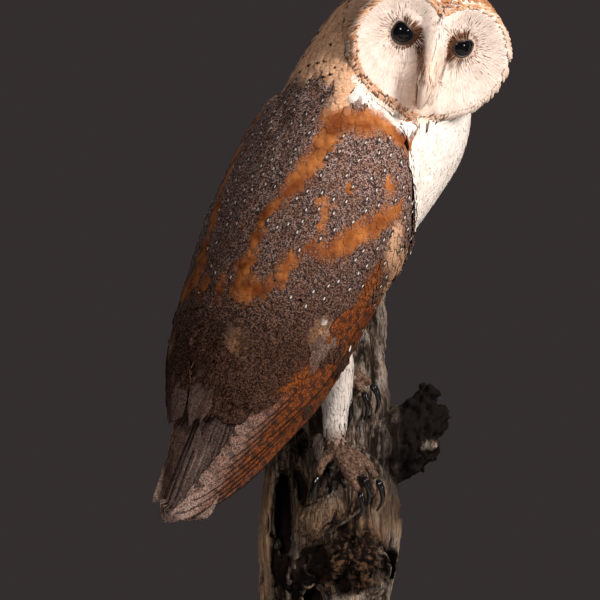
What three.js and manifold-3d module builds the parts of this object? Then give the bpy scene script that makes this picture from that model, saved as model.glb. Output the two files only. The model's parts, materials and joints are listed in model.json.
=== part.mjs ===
// A life-size taxidermy barn owl, perched on a weathered tree stump that is fixed to a round wooden stand.
//
// Millimetres, +Z up. The origin is the middle of the stand's underside. The display side faces -Y, so +X is
// to the right of a person who looks at the specimen, and +Y is away from them.
//
// The bird stands with its back and right wing to the display side, and looks back over its right shoulder.
// It is built in two frames of its own: the body's, with its long axis along Z, and the head's.

import * as THREE from "three";
import { mergeVertices } from "three/addons/utils/BufferGeometryUtils.js";
import Module from "manifold-3d";

const wasm = await Module();
wasm.setup();

const { sin, cos, PI, sqrt, abs, exp, hypot, atan2, max, min } = Math;
const { degToRad, lerp, smoothstep } = THREE.MathUtils;
const vec = (x, y, z) => new THREE.Vector3(x, y, z);

// ---------------------------------------------------------------- driving dimensions

const GAP = 0.4; // clear space between neighbouring solids

const STAND_RADIUS = 88;
const STAND_HEIGHT = 20;

const BODY_CENTRE = vec(-7, -32, 265);
const HEADING = 45; // degrees the body is turned away from +X, towards +Y
const PITCH = 55; // degrees the long axis rises above level

const HEAD_CENTRE = vec(54.6, -21, 374.5);
const HEAD_YAW = 16; // degrees the face is turned from the display side towards +X
const HEAD_NOD = 14; // degrees the face looks down
const HEAD_ROLL = 14; // degrees the crown leans towards +X

const EYE_RADIUS = 8.5;
const EYE_SPREAD = 16.8; // half the distance between the eyes
const EYE_DEPTH = 13.5; // eye centres in front of the head's centre

const NECK_LINE = 82; // where the neck ends and the trunk begins, along the body's axis
const NECK_TURN = 24; // how far the turned neck brings the head towards the display side

// ---------------------------------------------------------------- frames

// Body frame: X is the bird's right, Y its belly side, Z its head end.
const heading = vec(cos(degToRad(HEADING)), sin(degToRad(HEADING)), 0);
const up = vec(0, 0, 1);
const bodyAxis = heading.clone().multiplyScalar(cos(degToRad(PITCH))).addScaledVector(up, sin(degToRad(PITCH)));
const bodyRight = vec(sin(degToRad(HEADING)), -cos(degToRad(HEADING)), 0);
const bodyFront = bodyAxis.clone().cross(bodyRight);
const bodyFrame = new THREE.Matrix4().makeBasis(bodyRight, bodyFront, bodyAxis).setPosition(BODY_CENTRE);
const inBody = (x, y, z) => vec(x, y, z).applyMatrix4(bodyFrame);

// Head frame: X is the bird's left, Y the back of the head, Z the crown.
const headFrame = new THREE.Matrix4()
  .makeRotationY(degToRad(HEAD_ROLL))
  .multiply(new THREE.Matrix4().makeRotationZ(degToRad(HEAD_YAW)))
  .multiply(new THREE.Matrix4().makeRotationX(degToRad(HEAD_NOD)))
  .setPosition(HEAD_CENTRE);

// ---------------------------------------------------------------- shape helpers

// A closed geometry as a manifold-3d solid, in the frame of matrix.
function solid(geometry, matrix = new THREE.Matrix4()) {
  const bare = geometry.clone();
  bare.deleteAttribute("normal");
  bare.deleteAttribute("uv");
  bare.applyMatrix4(matrix);
  const merged = mergeVertices(bare, 1e-3);
  const triVerts = new Uint32Array(merged.index.array);
  const vertProperties = merged.attributes.position.array;
  if (volume(vertProperties, triVerts) < 0) turnFaces(triVerts);
  return new wasm.Manifold(new wasm.Mesh({ numProp: 3, vertProperties, triVerts }));
}

function volume(points, faces) {
  const corner = (i) => vec(points[3 * faces[i]], points[3 * faces[i] + 1], points[3 * faces[i] + 2]);
  let sum = 0;
  for (let i = 0; i < faces.length; i += 3) sum += corner(i).dot(corner(i + 1).cross(corner(i + 2))) / 6;
  return sum;
}

function turnFaces(faces) {
  for (let i = 0; i < faces.length; i += 3) [faces[i + 1], faces[i + 2]] = [faces[i + 2], faces[i + 1]];
}

function geometryOf(manifold) {
  const { vertProperties, triVerts } = manifold.getMesh();
  const geometry = new THREE.BufferGeometry();
  geometry.setAttribute("position", new THREE.BufferAttribute(vertProperties, 3));
  geometry.setIndex(new THREE.BufferAttribute(triVerts, 1));
  geometry.computeVertexNormals();
  return geometry;
}

// A round shape: a sphere whose every direction is moved by place(along, angle), with its poles at along = 0 and 1.
function round(around, steps, place) {
  const geometry = new THREE.SphereGeometry(1, around, steps).rotateX(PI / 2);
  const at = geometry.attributes.position;
  for (let i = 0; i < at.count; i++) {
    const along = Math.acos(max(-1, min(1, at.getZ(i)))) / PI;
    const angle = atan2(at.getX(i), -at.getY(i));
    at.setXYZ(i, ...place(along, angle).toArray());
  }
  return geometry;
}

// Values between rows of numbers, smoothly, for share from 0 to 1. Rows hold [share, ...values].
function between(rows, share) {
  const last = rows.length - 1;
  let i = 0;
  while (i < last - 1 && rows[i + 1][0] < share) i++;
  const t = max(0, min(1, (share - rows[i][0]) / (rows[i + 1][0] - rows[i][0])));
  const before = rows[max(0, i - 1)];
  const after = rows[min(last, i + 2)];
  return rows[i].slice(1).map((p1, k) => {
    const [p0, p2, p3] = [before[k + 1], rows[i + 1][k + 1], after[k + 1]];
    return 0.5 * (2 * p1 + t * (p2 - p0 + t * (2 * p0 - 5 * p1 + 4 * p2 - p3 + t * (3 * p1 - p0 + p2 * -3 + p3))));
  });
}

// A tube with rounded ends along a smooth route. Points are [x, y, z, radius].
function tube(points, around, steps, extra = 0) {
  const curve = new THREE.CatmullRomCurve3(points.map(([x, y, z]) => vec(x, y, z)), false, "centripetal");
  const radii = points.map((p) => p[3] + extra);
  const first = curve.getTangent(0);
  const side0 = (abs(first.z) < 0.9 ? up.clone() : vec(1, 0, 0)).cross(first).normalize();
  const spots = [];
  for (let i = 0, side = side0; i <= steps; i++) {
    const t = i / steps;
    const tangent = curve.getTangent(t);
    side = side.clone().addScaledVector(tangent, -side.dot(tangent)).normalize();
    spots.push({ centre: curve.getPoint(t), side, over: tangent.clone().cross(side), tangent });
  }
  return round(around, steps + 2, (along, angle) => {
    const ring = Math.round(along * (steps + 2)) - 1;
    const spot = spots[max(0, min(steps, ring))];
    const reach = (spots.length - 1 ? max(0, min(steps, ring)) / steps : 0) * (radii.length - 1);
    const low = min(radii.length - 2, Math.floor(reach));
    const radius = lerp(radii[low], radii[low + 1], reach - low);
    if (ring < 0) return spot.centre.clone().addScaledVector(spot.tangent, -radius * 0.6);
    if (ring > steps) return spot.centre.clone().addScaledVector(spot.tangent, radius * 0.6);
    const out = spot.side.clone().multiplyScalar(cos(angle)).addScaledVector(spot.over, sin(angle));
    return spot.centre.clone().addScaledVector(out, radius);
  });
}

// A curved plate: a box whose every point (u, v, w), each 0 to 1, is moved by place.
function plate(uSteps, vSteps, place) {
  const geometry = new THREE.BoxGeometry(1, 1, 1, uSteps, vSteps, 1);
  const at = geometry.attributes.position;
  for (let i = 0; i < at.count; i++) {
    at.setXYZ(i, ...place(at.getX(i) + 0.5, at.getY(i) + 0.5, at.getZ(i) + 0.5).toArray());
  }
  return geometry;
}

const joined = (solids) => solids.reduce((whole, next) => whole.add(next));
const cutBy = (body, ...cutters) => cutters.reduce((rest, cutter) => rest.subtract(cutter), body);
// The one main body of a cut solid, without the splinters that the cuts leave.
const mainBody = (body) => body.decompose().reduce((most, next) => (next.volume() > most.volume() ? next : most));

// ---------------------------------------------------------------- torso: trunk and neck

// Sections across the body's axis: [share of the way down, place along the axis, half width, depth to the
// back, depth to the belly, shift to the bird's right].
const TORSO = [
  [0.0, 146, 0, 0, 0, -4],
  [0.06, 138, 22, 37, 30, -4],
  [0.16, 121, 34, 46, 61, -4],
  [0.3, 92, 42, 50, 69, -3],
  [0.44, 58, 46, 52, 62, -1],
  [0.58, 22, 47, 50, 53, 0],
  [0.72, -18, 44, 46, 46, 0],
  [0.84, -56, 37, 40, 35, 0],
  [0.93, -86, 26, 30, 20, 0],
  [1.0, -108, 0, 0, 0, 0],
];

function torso(extra) {
  const squared = TORSO.map(([share, z, w, back, belly, shift]) => [share, z, w * w, back * back, belly * belly, shift]);
  return round(24, 18, (along, angle) => {
    const [z, wide, back, belly, shift] = between(squared, along);
    const deep = sqrt(max(0, cos(angle) > 0 ? back : belly));
    const x = shift + (sqrt(max(0, wide)) + extra) * sin(angle);
    const y = -(deep + extra) * cos(angle);
    const spot = vec(x, y, z + extra * (1 - 2 * along)).applyMatrix4(bodyFrame);
    spot.y -= NECK_TURN * smoothstep(z, 40, 140);
    return spot;
  });
}

const torsoSolid = (extra = 0) => solid(torso(extra));

// A thick slab across the body's axis, from low to high.
const slab = (low, high) =>
  solid(new THREE.BoxGeometry(400, 400, high - low).translate(0, 0, (low + high) / 2), bodyFrame);

// ---------------------------------------------------------------- head

// The heart of the facial disc: [degrees from the crown, radius from the disc's middle].
const DISC_MIDDLE = -6;
const HEART = [
  [0, 21],
  [14, 28],
  [31, 36],
  [51, 42],
  [86, 46],
  [118, 44],
  [138, 40],
  [160, 37.5],
  [180, 39.5],
];
const RIM_SHARE = 0.42; // share of the way from face to nape where the disc's rim lies
const RIM_DEPTH = 25; // rim in front of the head's centre
const NAPE_DEPTH = 40;
const HOOD_WIDE = 45;
const HOOD_UP = 34;
const HOOD_DOWN = 40;

// Depth of the face in front of the head's centre: a dish round each eye, with a ridge down to the bill.
function faceDepth(x, z, share) {
  const dish = 7 * (1 - share * share) * smoothstep(abs(x), 3, 13);
  const ridge = 9 * exp(-((x / 8) ** 2)) * exp(-(((z + 16) / 20) ** 2));
  return RIM_DEPTH - dish + ridge;
}

function head(extra) {
  return round(24, 16, (along, angle) => {
    const [radius] = between(HEART, abs(angle) * (180 / PI));
    if (along <= RIM_SHARE) {
      const share = along / RIM_SHARE;
      const reach = share * (radius + extra);
      const x = reach * sin(angle);
      const z = DISC_MIDDLE + reach * cos(angle);
      return vec(x, -faceDepth(x, z, share) - extra, z);
    }
    const back = (along - RIM_SHARE) / (1 - RIM_SHARE);
    const y = lerp(-RIM_DEPTH, NAPE_DEPTH, 1 - cos((back * PI) / 2) ** 1.3);
    const hood = 1 / hypot(sin(angle) / HOOD_WIDE, cos(angle) / (cos(angle) > 0 ? HOOD_UP : HOOD_DOWN));
    const bulge = sqrt(max(0, 1 - (max(0, y + 4) / (NAPE_DEPTH + 4)) ** 2));
    const reach = lerp(radius, hood + 3, smoothstep(back, 0, 0.3)) * bulge + extra * (1 - back);
    return vec(reach * sin(angle), y + extra * back, DISC_MIDDLE * (1 - back) + reach * cos(angle));
  });
}

const eye = (side, extra) =>
  solid(new THREE.SphereGeometry(EYE_RADIUS + extra, 12, 8).translate(side * EYE_SPREAD, -EYE_DEPTH, 0), headFrame);

// The bill: a narrow hook that leaves the ridge below the eyes.
const BILL = [
  [0, -26, -14, 4.5],
  [0, -33, -22, 4.2],
  [0, -35.5, -30, 3.2],
  [0, -34.5, -37, 1.2],
];
const bill = (extra) => solid(tube(BILL, 10, 6, extra), headFrame);

// ---------------------------------------------------------------- wings

// Sections of the folded right wing across the body's axis: [share from shoulder to tip, place along the axis,
// inner edge's angle from the spine, its radius, radius half way, leading edge's angle, its radius, depth].
const WING = [
  [0.0, 64, 44, 50, 51, 58, 49, 10],
  [0.05, 57, 26, 53, 54, 76, 49, 16],
  [0.12, 42, 12, 55, 57, 97, 51.5, 18],
  [0.19, 24, 5, 55.5, 58.5, 114, 55, 18],
  [0.27, 3, 2.5, 55, 59, 131, 58, 18],
  [0.33, -14, 2.5, 54, 58.5, 136, 55, 17],
  [0.37, -24, 2.5, 53.5, 57.5, 135, 51.5, 16],
  [0.51, -61, 2.5, 48, 52, 133, 50, 14],
  [0.63, -92, 3.5, 41, 45.5, 133, 48, 9],
  [0.73, -119, 5, 33, 37, 130, 43, 5],
  [0.79, -134, 8, 23, 29, 128.5, 39.5, 3.4],
  [0.85, -151, 10, 18, 24, 126, 34, 2.8],
  [0.92, -171, 15, 14.5, 19, 118, 26, 2.3],
  [0.97, -190, 24, 13, 16, 96, 18, 1.9],
  [1.0, -204, 38, 12.5, 13.5, 60, 14, 1.4],
];
const EDGE_THICKNESS = 0.45; // share of the depth left at the long edges

function wing(side, extra) {
  const geometry = plate(20, 6, (u, v, w) => {
    const [z, innerAngle, innerRadius, halfRadius, outerAngle, outerRadius, depth] = between(WING, u);
    const angle = degToRad(lerp(innerAngle, outerAngle, v));
    const bend = 2 * halfRadius - (innerRadius + outerRadius) / 2;
    const radius = (1 - v) ** 2 * innerRadius + 2 * v * (1 - v) * bend + v * v * outerRadius;
    const edge = lerp(EDGE_THICKNESS, 1, smoothstep(4 * v * (1 - v), 0, 0.5));
    const out = w > 0.5 ? extra : -(depth + extra * 2) * edge;
    const spread = extra * (2 * v - 1);
    return vec(
      side * ((radius + out) * sin(angle) + spread * cos(angle)),
      -(radius + out) * cos(angle) + spread * sin(angle),
      z + extra * (1 - 2 * u),
    );
  });
  return solid(geometry, bodyFrame);
}

// ---------------------------------------------------------------- tail

const TAIL_ROOT = -80;
const TAIL_TIP = -196;
const TAIL_HALF_WIDTH = [15, 17];
const TAIL_THICKNESS = [12, 1.8];

const tail = () =>
  solid(
    plate(10, 6, (u, v, w) => {
      const across = 2 * v - 1;
      const rounded = 1 - 0.07 * across * across;
      const z = lerp(TAIL_ROOT, TAIL_TIP, u * rounded);
      const thick = lerp(...TAIL_THICKNESS, sqrt(u)) * (1 - 0.5 * across * across);
      const x = across * lerp(...TAIL_HALF_WIDTH, u ** 0.8);
      const y = lerp(-9, 2, u) + 3 * across * across;
      return vec(x, y + (w - 0.5) * thick, z);
    }),
    bodyFrame,
  );

// ---------------------------------------------------------------- legs, feet and claws

const hipRight = inBody(17, 18, -52);
const hipLeft = inBody(-17, 20, -48);
const LEGS = {
  right: [[...hipRight.toArray(), 17], [4, -46, 186, 11], [4.5, -42, 162, 7], [4, -41, 148, 6]],
  left: [[...hipLeft.toArray(), 17], [-12, -23, 200, 10.5], [-2, -23.5, 192, 7], [3, -24.5, 188, 5.8]],
};

// Each toe: its route from the palm, then its claw's route. Toes are numbered from the hind one.
const PALMS = { right: [4.5, -41, 142, 5.6], left: [5, -25.5, 185, 5.4] };
const TOES = {
  right: [
    { toe: [[-1.5, -45.5, 136], [-5, -48.5, 128]], claw: [[-6.6, -49.5, 123], [-7, -48.8, 116], [-5, -46, 110]] },
    { toe: [[10.5, -51, 130], [17, -54, 119.5]], claw: [[19.5, -54.5, 114], [19.6, -53.5, 107], [15.5, -51, 103.4]] },
    { toe: [[15, -47.5, 135.5], [20, -51, 128]], claw: [[22, -52, 122.5], [23.5, -51, 116], [22, -48, 110.5]] },
    { toe: [[18, -42.5, 137.5], [27, -44, 126]], claw: [[30, -44.5, 120.5], [31, -43.5, 113], [27.5, -41, 107.5]] },
  ],
  left: [
    { toe: [[-2, -27, 180], [-6, -28, 174]], claw: [[-7.6, -28, 169.5], [-8, -27, 163.5], [-6, -24.5, 158.5]] },
    { toe: [[9, -30.5, 178], [12, -31.5, 170]], claw: [[13, -31.5, 165], [13, -30.5, 158.5], [11, -28, 154]] },
    { toe: [[13, -28, 180.5], [19.5, -28.5, 174]], claw: [[22, -28.5, 169], [22.8, -27.4, 162.5], [20.5, -25, 157.5]] },
    { toe: [[14, -25, 184], [24, -25.5, 178]], claw: [[27.6, -25.6, 173.5], [29, -24.5, 167], [27, -22, 161.5]] },
  ],
};
const TOE_RADII = [4, 3.5, 2.9];
const CLAW_RADII = [2.3, 1.9, 1.3, 0.45];

const toeRoute = (name, { toe }) =>
  [PALMS[name].slice(0, 3), ...toe].map((point, i) => [...point, TOE_RADII[i]]);
const clawRoute = ({ toe, claw }) => {
  const [a, b] = [vec(...toe.at(-1)), vec(...claw[0])];
  const start = a.clone().lerp(b, 0.5);
  return [start.toArray(), ...claw].map((point, i) => [...point, CLAW_RADII[i]]);
};

const leg = (name, extra) => solid(tube(LEGS[name], 10, 6, extra));
const toe = (name, route, extra) => solid(tube(toeRoute(name, route), 6, 5, extra));
const claw = (route, extra) => solid(tube(clawRoute(route), 6, 5, extra));
const palm = (name, extra) => {
  const [x, y, z, radius] = PALMS[name];
  return solid(new THREE.SphereGeometry(radius + extra, 8, 6).translate(x, y, z));
};
const foot = (name, extra) => joined([palm(name, extra), ...TOES[name].map((route) => toe(name, route, extra))]);

// ---------------------------------------------------------------- stump and stand

// Sections up the stump: [share, height, middle x, middle y, half width, half depth].
const STUMP_FOOT = STAND_HEIGHT + GAP;
const STUMP = [
  [0.0, STUMP_FOOT, -3, 0, 30, 28],
  [0.1, 44, -2, 0, 33, 31],
  [0.22, 72, -1, 0, 38, 33],
  [0.45, 124, 0, 1, 38, 32],
  [0.6, 158, 3, 2, 32, 28],
  [0.74, 188, 8, 4, 26, 24],
  [0.88, 222, 14, 8, 20, 18],
  [1.0, 252, 18, 12, 14, 12],
];

// How far the weathered surface stands out or in, for each direction and height.
function weathered(angle, z) {
  const flutes = 1.6 * sin(3 * angle + z * 0.03) + 1.1 * sin(7 * angle - z * 0.045 + 1) + 0.7 * sin(13 * angle + z * 0.02);
  return flutes + 0.9 * sin(z * 0.11 + 2 * angle);
}

function stump() {
  const geometry = new THREE.CylinderGeometry(1, 1, 1, 26, 12).rotateX(PI / 2).translate(0, 0, 0.5);
  const at = geometry.attributes.position;
  for (let i = 0; i < at.count; i++) {
    const share = max(0, min(1, at.getZ(i)));
    const [z, x0, y0, wide, deep] = between(STUMP, share);
    const middle = hypot(at.getX(i), at.getY(i));
    const angle = atan2(at.getX(i), -at.getY(i));
    const out = weathered(angle, z) * smoothstep(z, 20, 60);
    const jagged = share > 0.99 ? 5 * sin(4 * angle + 1) * middle + 3 * sin(9 * angle) * middle : 0;
    at.setXYZ(i, x0 + (wide + out) * middle * sin(angle), y0 - (deep + out) * middle * cos(angle), z + jagged);
  }
  return solid(geometry);
}

// The stub that the right foot grips, and the ledge under the left foot.
const STUB = [[16, -14, 128, 19], [9, -26, 121, 17], [-1, -38, 108, 13], [-12, -43, 97, 7]];
const LEDGE = [[2, -8, 176, 17], [9, -14, 170, 15], [16, -16, 156, 12]];
// The short side branch, with a prong on top.
const BRANCH = [[18, 4, 143, 27], [38, 2, 145, 22.5], [50, 0, 150, 18], [60, -1, 156, 12], [65, -1, 154, 8]];
const PRONG = [[48, 0, 160, 9], [55, -1, 170, 6], [59, -2, 177, 4.4]];
const BRANCH_LINE = 41; // where the branch is parted from the stump, along X

// Hollows that rot has opened in the front of the stump: [x, y, z, half width, half depth, half height].
const HOLLOWS = {
  slot: [-24, -26, 106, 6.5, 22, 27],
  pocket: [1, -34, 76, 13, 20, 12],
  notch: [23, -31, 73, 8, 16, 11],
  gap: [-8, -34, 58, 7, 18, 9],
  shaft: [-14, -26, 146, 5, 12, 9],
};
const hollow = ([x, y, z, wide, deep, high]) =>
  solid(new THREE.SphereGeometry(1, 10, 6).scale(wide, deep, high).translate(x, y, z));

const STAND_PROFILE = [
  [0, 0],
  [STAND_RADIUS - 2, 0],
  [STAND_RADIUS, 2],
  [STAND_RADIUS, 9],
  [STAND_RADIUS - 3, 12],
  [STAND_RADIUS - 4, 14],
  [STAND_RADIUS - 9, STAND_HEIGHT],
  [0, STAND_HEIGHT],
];
const stand = () =>
  solid(new THREE.LatheGeometry(STAND_PROFILE.map(([r, z]) => new THREE.Vector2(r, z)), 36).rotateX(PI / 2));

// ---------------------------------------------------------------- the pieces, cut clear of each other

const headSolid = (extra) => solid(head(extra), headFrame);
const clawSolid = (route, extra) => solid(tube(clawRoute(route), 6, 5, extra));

// A cutter: the shape together with its copy grown by the gap.
const clear = (shape, ...names) => shape(...names, 0).add(shape(...names, GAP));

const cut = {
  head: clear(headSolid),
  torso: clear(torsoSolid),
  bill: clear(bill),
  eyes: [clear(eye, 1), clear(eye, -1)],
  wings: { right: clear(wing, 1), left: clear(wing, -1) },
  feet: { right: clear(foot, "right"), left: clear(foot, "left") },
  legs: { right: clear(leg, "right"), left: clear(leg, "left") },
  claws: {
    right: TOES.right.map((route) => clear(clawSolid, route)),
    left: TOES.left.map((route) => clear(clawSolid, route)),
  },
};
const birdCutters = [
  cut.torso,
  ...["right", "left"].flatMap((name) => [cut.wings[name], cut.feet[name], cut.legs[name], ...cut.claws[name]]),
];
const besideSpine = (side) =>
  solid(new THREE.BoxGeometry(200, 400, 600).translate(side * (100 + GAP / 2), 0, 0), bodyFrame);
const alongX = (low, high) =>
  solid(new THREE.BoxGeometry(high - low, 400, 700).translate((low + high) / 2, 0, 0));

const wholeTorso = cutBy(torsoSolid(0), cut.head, cut.bill);
const pieces = {
  head: cutBy(headSolid(0), ...cut.eyes, cut.bill),
  neck: wholeTorso.intersect(slab(NECK_LINE + GAP, 400)),
  trunk: wholeTorso.intersect(slab(-400, NECK_LINE)),
  bill: bill(0),
  eye_right: eye(-1, 0),
  eye_left: eye(1, 0),
  tail: cutBy(tail(), cut.torso, cut.wings.right, cut.wings.left),
};
for (const [name, side] of [["right", 1], ["left", -1]]) {
  pieces[`wing_${name}`] = cutBy(wing(side, 0), cut.torso, cut.head, cut.bill).intersect(besideSpine(side));
  pieces[`leg_${name}`] = cutBy(leg(name, 0), cut.torso, cut.feet[name], cut.wings[name]);
  pieces[`foot_${name}`] = cutBy(foot(name, 0), ...cut.claws[name]);
  TOES[name].forEach((route, i) => {
    pieces[`claw_${name}_${i + 1}`] = clawSolid(route, 0);
  });
}

const routes = { stub: [STUB, 12, 6], ledge: [LEDGE, 10, 4], branch: [BRANCH, 14, 8], prong: [PRONG, 8, 4] };
const timber = joined([stump(), ...Object.values(routes).map((route) => solid(tube(...route)))]);
const carved = cutBy(timber, ...Object.values(HOLLOWS).map(hollow), ...birdCutters);
pieces.stump = carved.intersect(alongX(-300, BRANCH_LINE)).trimByPlane([0, 0, 1], STUMP_FOOT);
pieces.stump_branch = carved.intersect(alongX(BRANCH_LINE + GAP, 300));
pieces.stand_base = stand();

// ---------------------------------------------------------------- the model

const FINISH = {
  plumage: { color: 0xa8713f, roughness: 0.85, metalness: 0 },
  face: { color: 0xeadfd2, roughness: 0.9, metalness: 0 },
  breast: { color: 0xf2ece6, roughness: 0.9, metalness: 0 },
  toes: { color: 0x8a7468, roughness: 0.7, metalness: 0 },
  horn: { color: 0x16120f, roughness: 0.3, metalness: 0 },
  glass: { color: 0x050505, roughness: 0.05, metalness: 0 },
  ivory: { color: 0xd9c3ae, roughness: 0.45, metalness: 0 },
  driftwood: { color: 0x6e5f52, roughness: 0.85, metalness: 0 },
  turned: { color: 0x3a2416, roughness: 0.45, metalness: 0 },
};
const finishOf = (name) => {
  if (name === "head") return FINISH.face;
  if (name === "neck") return FINISH.breast;
  if (name.startsWith("leg_")) return FINISH.breast;
  if (name.startsWith("foot_")) return FINISH.toes;
  if (name.startsWith("claw_")) return FINISH.horn;
  if (name.startsWith("eye_")) return FINISH.glass;
  if (name === "bill") return FINISH.ivory;
  if (name.startsWith("stump")) return FINISH.driftwood;
  if (name === "stand_base") return FINISH.turned;
  return FINISH.plumage;
};

const model = new THREE.Group();
for (const [name, piece] of Object.entries(pieces)) {
  const mesh = new THREE.Mesh(geometryOf(mainBody(piece)), new THREE.MeshStandardMaterial(finishOf(name)));
  mesh.name = name;
  model.add(mesh);
}

export default model;
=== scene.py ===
# %% [markdown]
# # A taxidermy barn owl on its stump
# A mounted bird is a real skin over an artificial body, with glass eyes, wired to a perch. The frame gives every part
# its place and size. This lesson turns it into a bird: one skin over the flesh, then the coat of feathers on top,
# then eyes, bill, feet, wood, finishes, light and camera.

import json
import math

import bmesh
import bpy
import numpy as np
from mathutils import Matrix, Vector, noise
from mathutils.bvhtree import BVHTree

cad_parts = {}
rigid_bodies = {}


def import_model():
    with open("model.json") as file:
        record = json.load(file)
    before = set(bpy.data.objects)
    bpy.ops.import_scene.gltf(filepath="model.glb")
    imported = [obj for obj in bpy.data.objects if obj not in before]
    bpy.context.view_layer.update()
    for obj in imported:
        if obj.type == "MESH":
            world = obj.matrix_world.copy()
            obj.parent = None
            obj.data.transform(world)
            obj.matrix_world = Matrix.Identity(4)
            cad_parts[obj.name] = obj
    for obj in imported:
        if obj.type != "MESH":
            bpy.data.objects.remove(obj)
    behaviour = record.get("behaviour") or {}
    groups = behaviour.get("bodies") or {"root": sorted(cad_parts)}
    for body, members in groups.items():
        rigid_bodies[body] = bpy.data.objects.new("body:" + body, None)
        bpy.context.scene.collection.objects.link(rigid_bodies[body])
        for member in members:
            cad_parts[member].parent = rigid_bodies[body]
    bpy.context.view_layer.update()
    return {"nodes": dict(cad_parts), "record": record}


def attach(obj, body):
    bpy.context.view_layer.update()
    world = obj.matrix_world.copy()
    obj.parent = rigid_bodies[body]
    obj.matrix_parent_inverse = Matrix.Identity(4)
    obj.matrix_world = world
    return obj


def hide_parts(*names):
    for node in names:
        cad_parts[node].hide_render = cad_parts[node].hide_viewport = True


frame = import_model()
nodes = frame["nodes"]
rng = np.random.default_rng(20)
MM = 0.001
EYE_OUT, EYE_FRONT = 16.8, -13.5  # place of the eyeballs in the head's frame (mm)

# %% [markdown]
# A bird is easiest to describe in its own frames. The body's frame has the bird's right, its belly side and its long
# axis towards the head. The head's frame has the bird's left, the back of the head and the crown. Both are the ones
# that the solids were built in, so a place on the coat can be named by an angle round the body and a height along it.

# %% The body's frame and the head's
BODY_CENTRE = np.array([-7, -32, 265]) * MM
HEAD_CENTRE = np.array([54.6, -21, 374.5]) * MM
TURN, PITCH = math.radians(45), math.radians(55)
heading = np.array([math.cos(TURN), math.sin(TURN), 0])
axis = heading * math.cos(PITCH) + np.array([0, 0, math.sin(PITCH)])
right = np.array([math.sin(TURN), -math.cos(TURN), 0])
BODY = np.array([right, np.cross(axis, right), axis])
HEAD = np.array(
    Matrix.Rotation(math.radians(14), 3, "Y")
    @ Matrix.Rotation(math.radians(16), 3, "Z")
    @ Matrix.Rotation(math.radians(14), 3, "X")
)


def in_body(points):
    """Places in the frame of the trunk: right, belly side, up its axis."""
    return (points - BODY_CENTRE) @ BODY.T


def from_body(points):
    return np.asarray(points) @ BODY + BODY_CENTRE


def in_head(points):
    """Places in the frame of the head: left, back, crown."""
    return (points - HEAD_CENTRE) @ HEAD


def from_head(points):
    return np.asarray(points) @ HEAD.T + HEAD_CENTRE


def ramp(x, low, high):
    """0 below low, 1 above high, smooth between."""
    t = np.clip((x - low) / (high - low), 0, 1)
    return t * t * (3 - 2 * t)


def unit(v):
    """Vectors of length 1."""
    return v / np.maximum(np.linalg.norm(v, axis=-1, keepdims=True), 1e-12)


# %% [markdown]
# The flesh of the frame is many solids with thin cuts between them. One skin has to cover them all. The solids are
# joined, fused into one surface by a voxel remesh, softened, and then drawn inwards by the depth of the coat that
# will lie over it. The tips of the wings and the tail hold no flesh, only quills, so they are cut off first.

# %% Join, fuse and soften meshes
FLESH = [
    "head", "neck", "trunk", "tail", "wing_right", "wing_left", "leg_right", "leg_left", "foot_right", "foot_left"
]
FLESH_END = {"wing_right": -112, "wing_left": -112, "tail": -128}


def bmesh_of(names):
    """The named nodes as one bmesh, and the node that each face came from."""
    whole = bmesh.new()
    owners = []
    for number, name in enumerate(names):
        whole.from_mesh(nodes[name].data)
        owners += [number] * (len(whole.faces) - len(owners))
    return whole, np.array(owners)


def new_object(name, mesh):
    made = bpy.data.objects.new(name, mesh)
    bpy.context.scene.collection.objects.link(made)
    return made


def fused(name, whole, voxel):
    """The closed parts of a bmesh, remeshed into one surface."""
    bmesh.ops.remove_doubles(whole, verts=whole.verts, dist=1e-6)
    mesh = bpy.data.meshes.new(name)
    whole.to_mesh(mesh)
    whole.free()
    rough = new_object(name + "_rough", mesh)
    remesh = rough.modifiers.new("fuse", "REMESH")
    remesh.mode, remesh.voxel_size, remesh.use_smooth_shade = "VOXEL", voxel, True
    found = rough.evaluated_get(bpy.context.evaluated_depsgraph_get())
    result = bpy.data.meshes.new_from_object(found)
    bpy.data.objects.remove(rough)
    bpy.data.meshes.remove(mesh)
    result.name = name
    return result


def read(data, field, width):
    """An attribute of a mesh as an array."""
    values = np.empty(len(data) * width)
    data.foreach_get(field, values)
    return values.reshape(-1, width)


def soften(mesh, rounds, share):
    """Move every vertex towards the mean of its neighbours, by its own share."""
    points = read(mesh.vertices, "co", 3)
    edges = np.empty(len(mesh.edges) * 2, dtype=np.int32)
    mesh.edges.foreach_get("vertices", edges)
    a, b = edges.reshape(-1, 2).T
    count = np.bincount(edges, minlength=len(points))[:, None]
    weight = share(points)[:, None]
    for _ in range(rounds):
        total = np.empty_like(points)
        for k in range(3):
            total[:, k] = np.bincount(a, points[b, k], len(points)) + np.bincount(b, points[a, k], len(points))
        points += weight * (total / count - points)
    mesh.vertices.foreach_set("co", points.ravel())
    mesh.update()


# %% [markdown]
# Where two solids meet there is a valley, and on a bird feathers and soft skin fill it. Sculpting could smooth it by
# hand. Here small oval pads are laid into the valleys before everything is fused: a row along the spine, between the
# folded wings, and a row that eases the step from the neck onto the front edge of each wing.

# %% Lay soft pads
# height along the spine and radius of the back there (mm)
SPINE = [(58, 47), (40, 49.5), (20, 50), (0, 49.5), (-20, 48.5), (-40, 45.5), (-60, 42.5), (-80, 38.5), (-98, 34)]
SPINE_PAD, SHOULDER_PAD = (8, 5.5, 17), (7, 7.5, 17)
SHOULDER_RADIUS, SHOULDER_HEIGHT = 38.5, 54
SHOULDER_SWINGS = [*range(42, 90, 8), *range(-82, -40, 8)]
flesh = bmesh.new()


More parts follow.
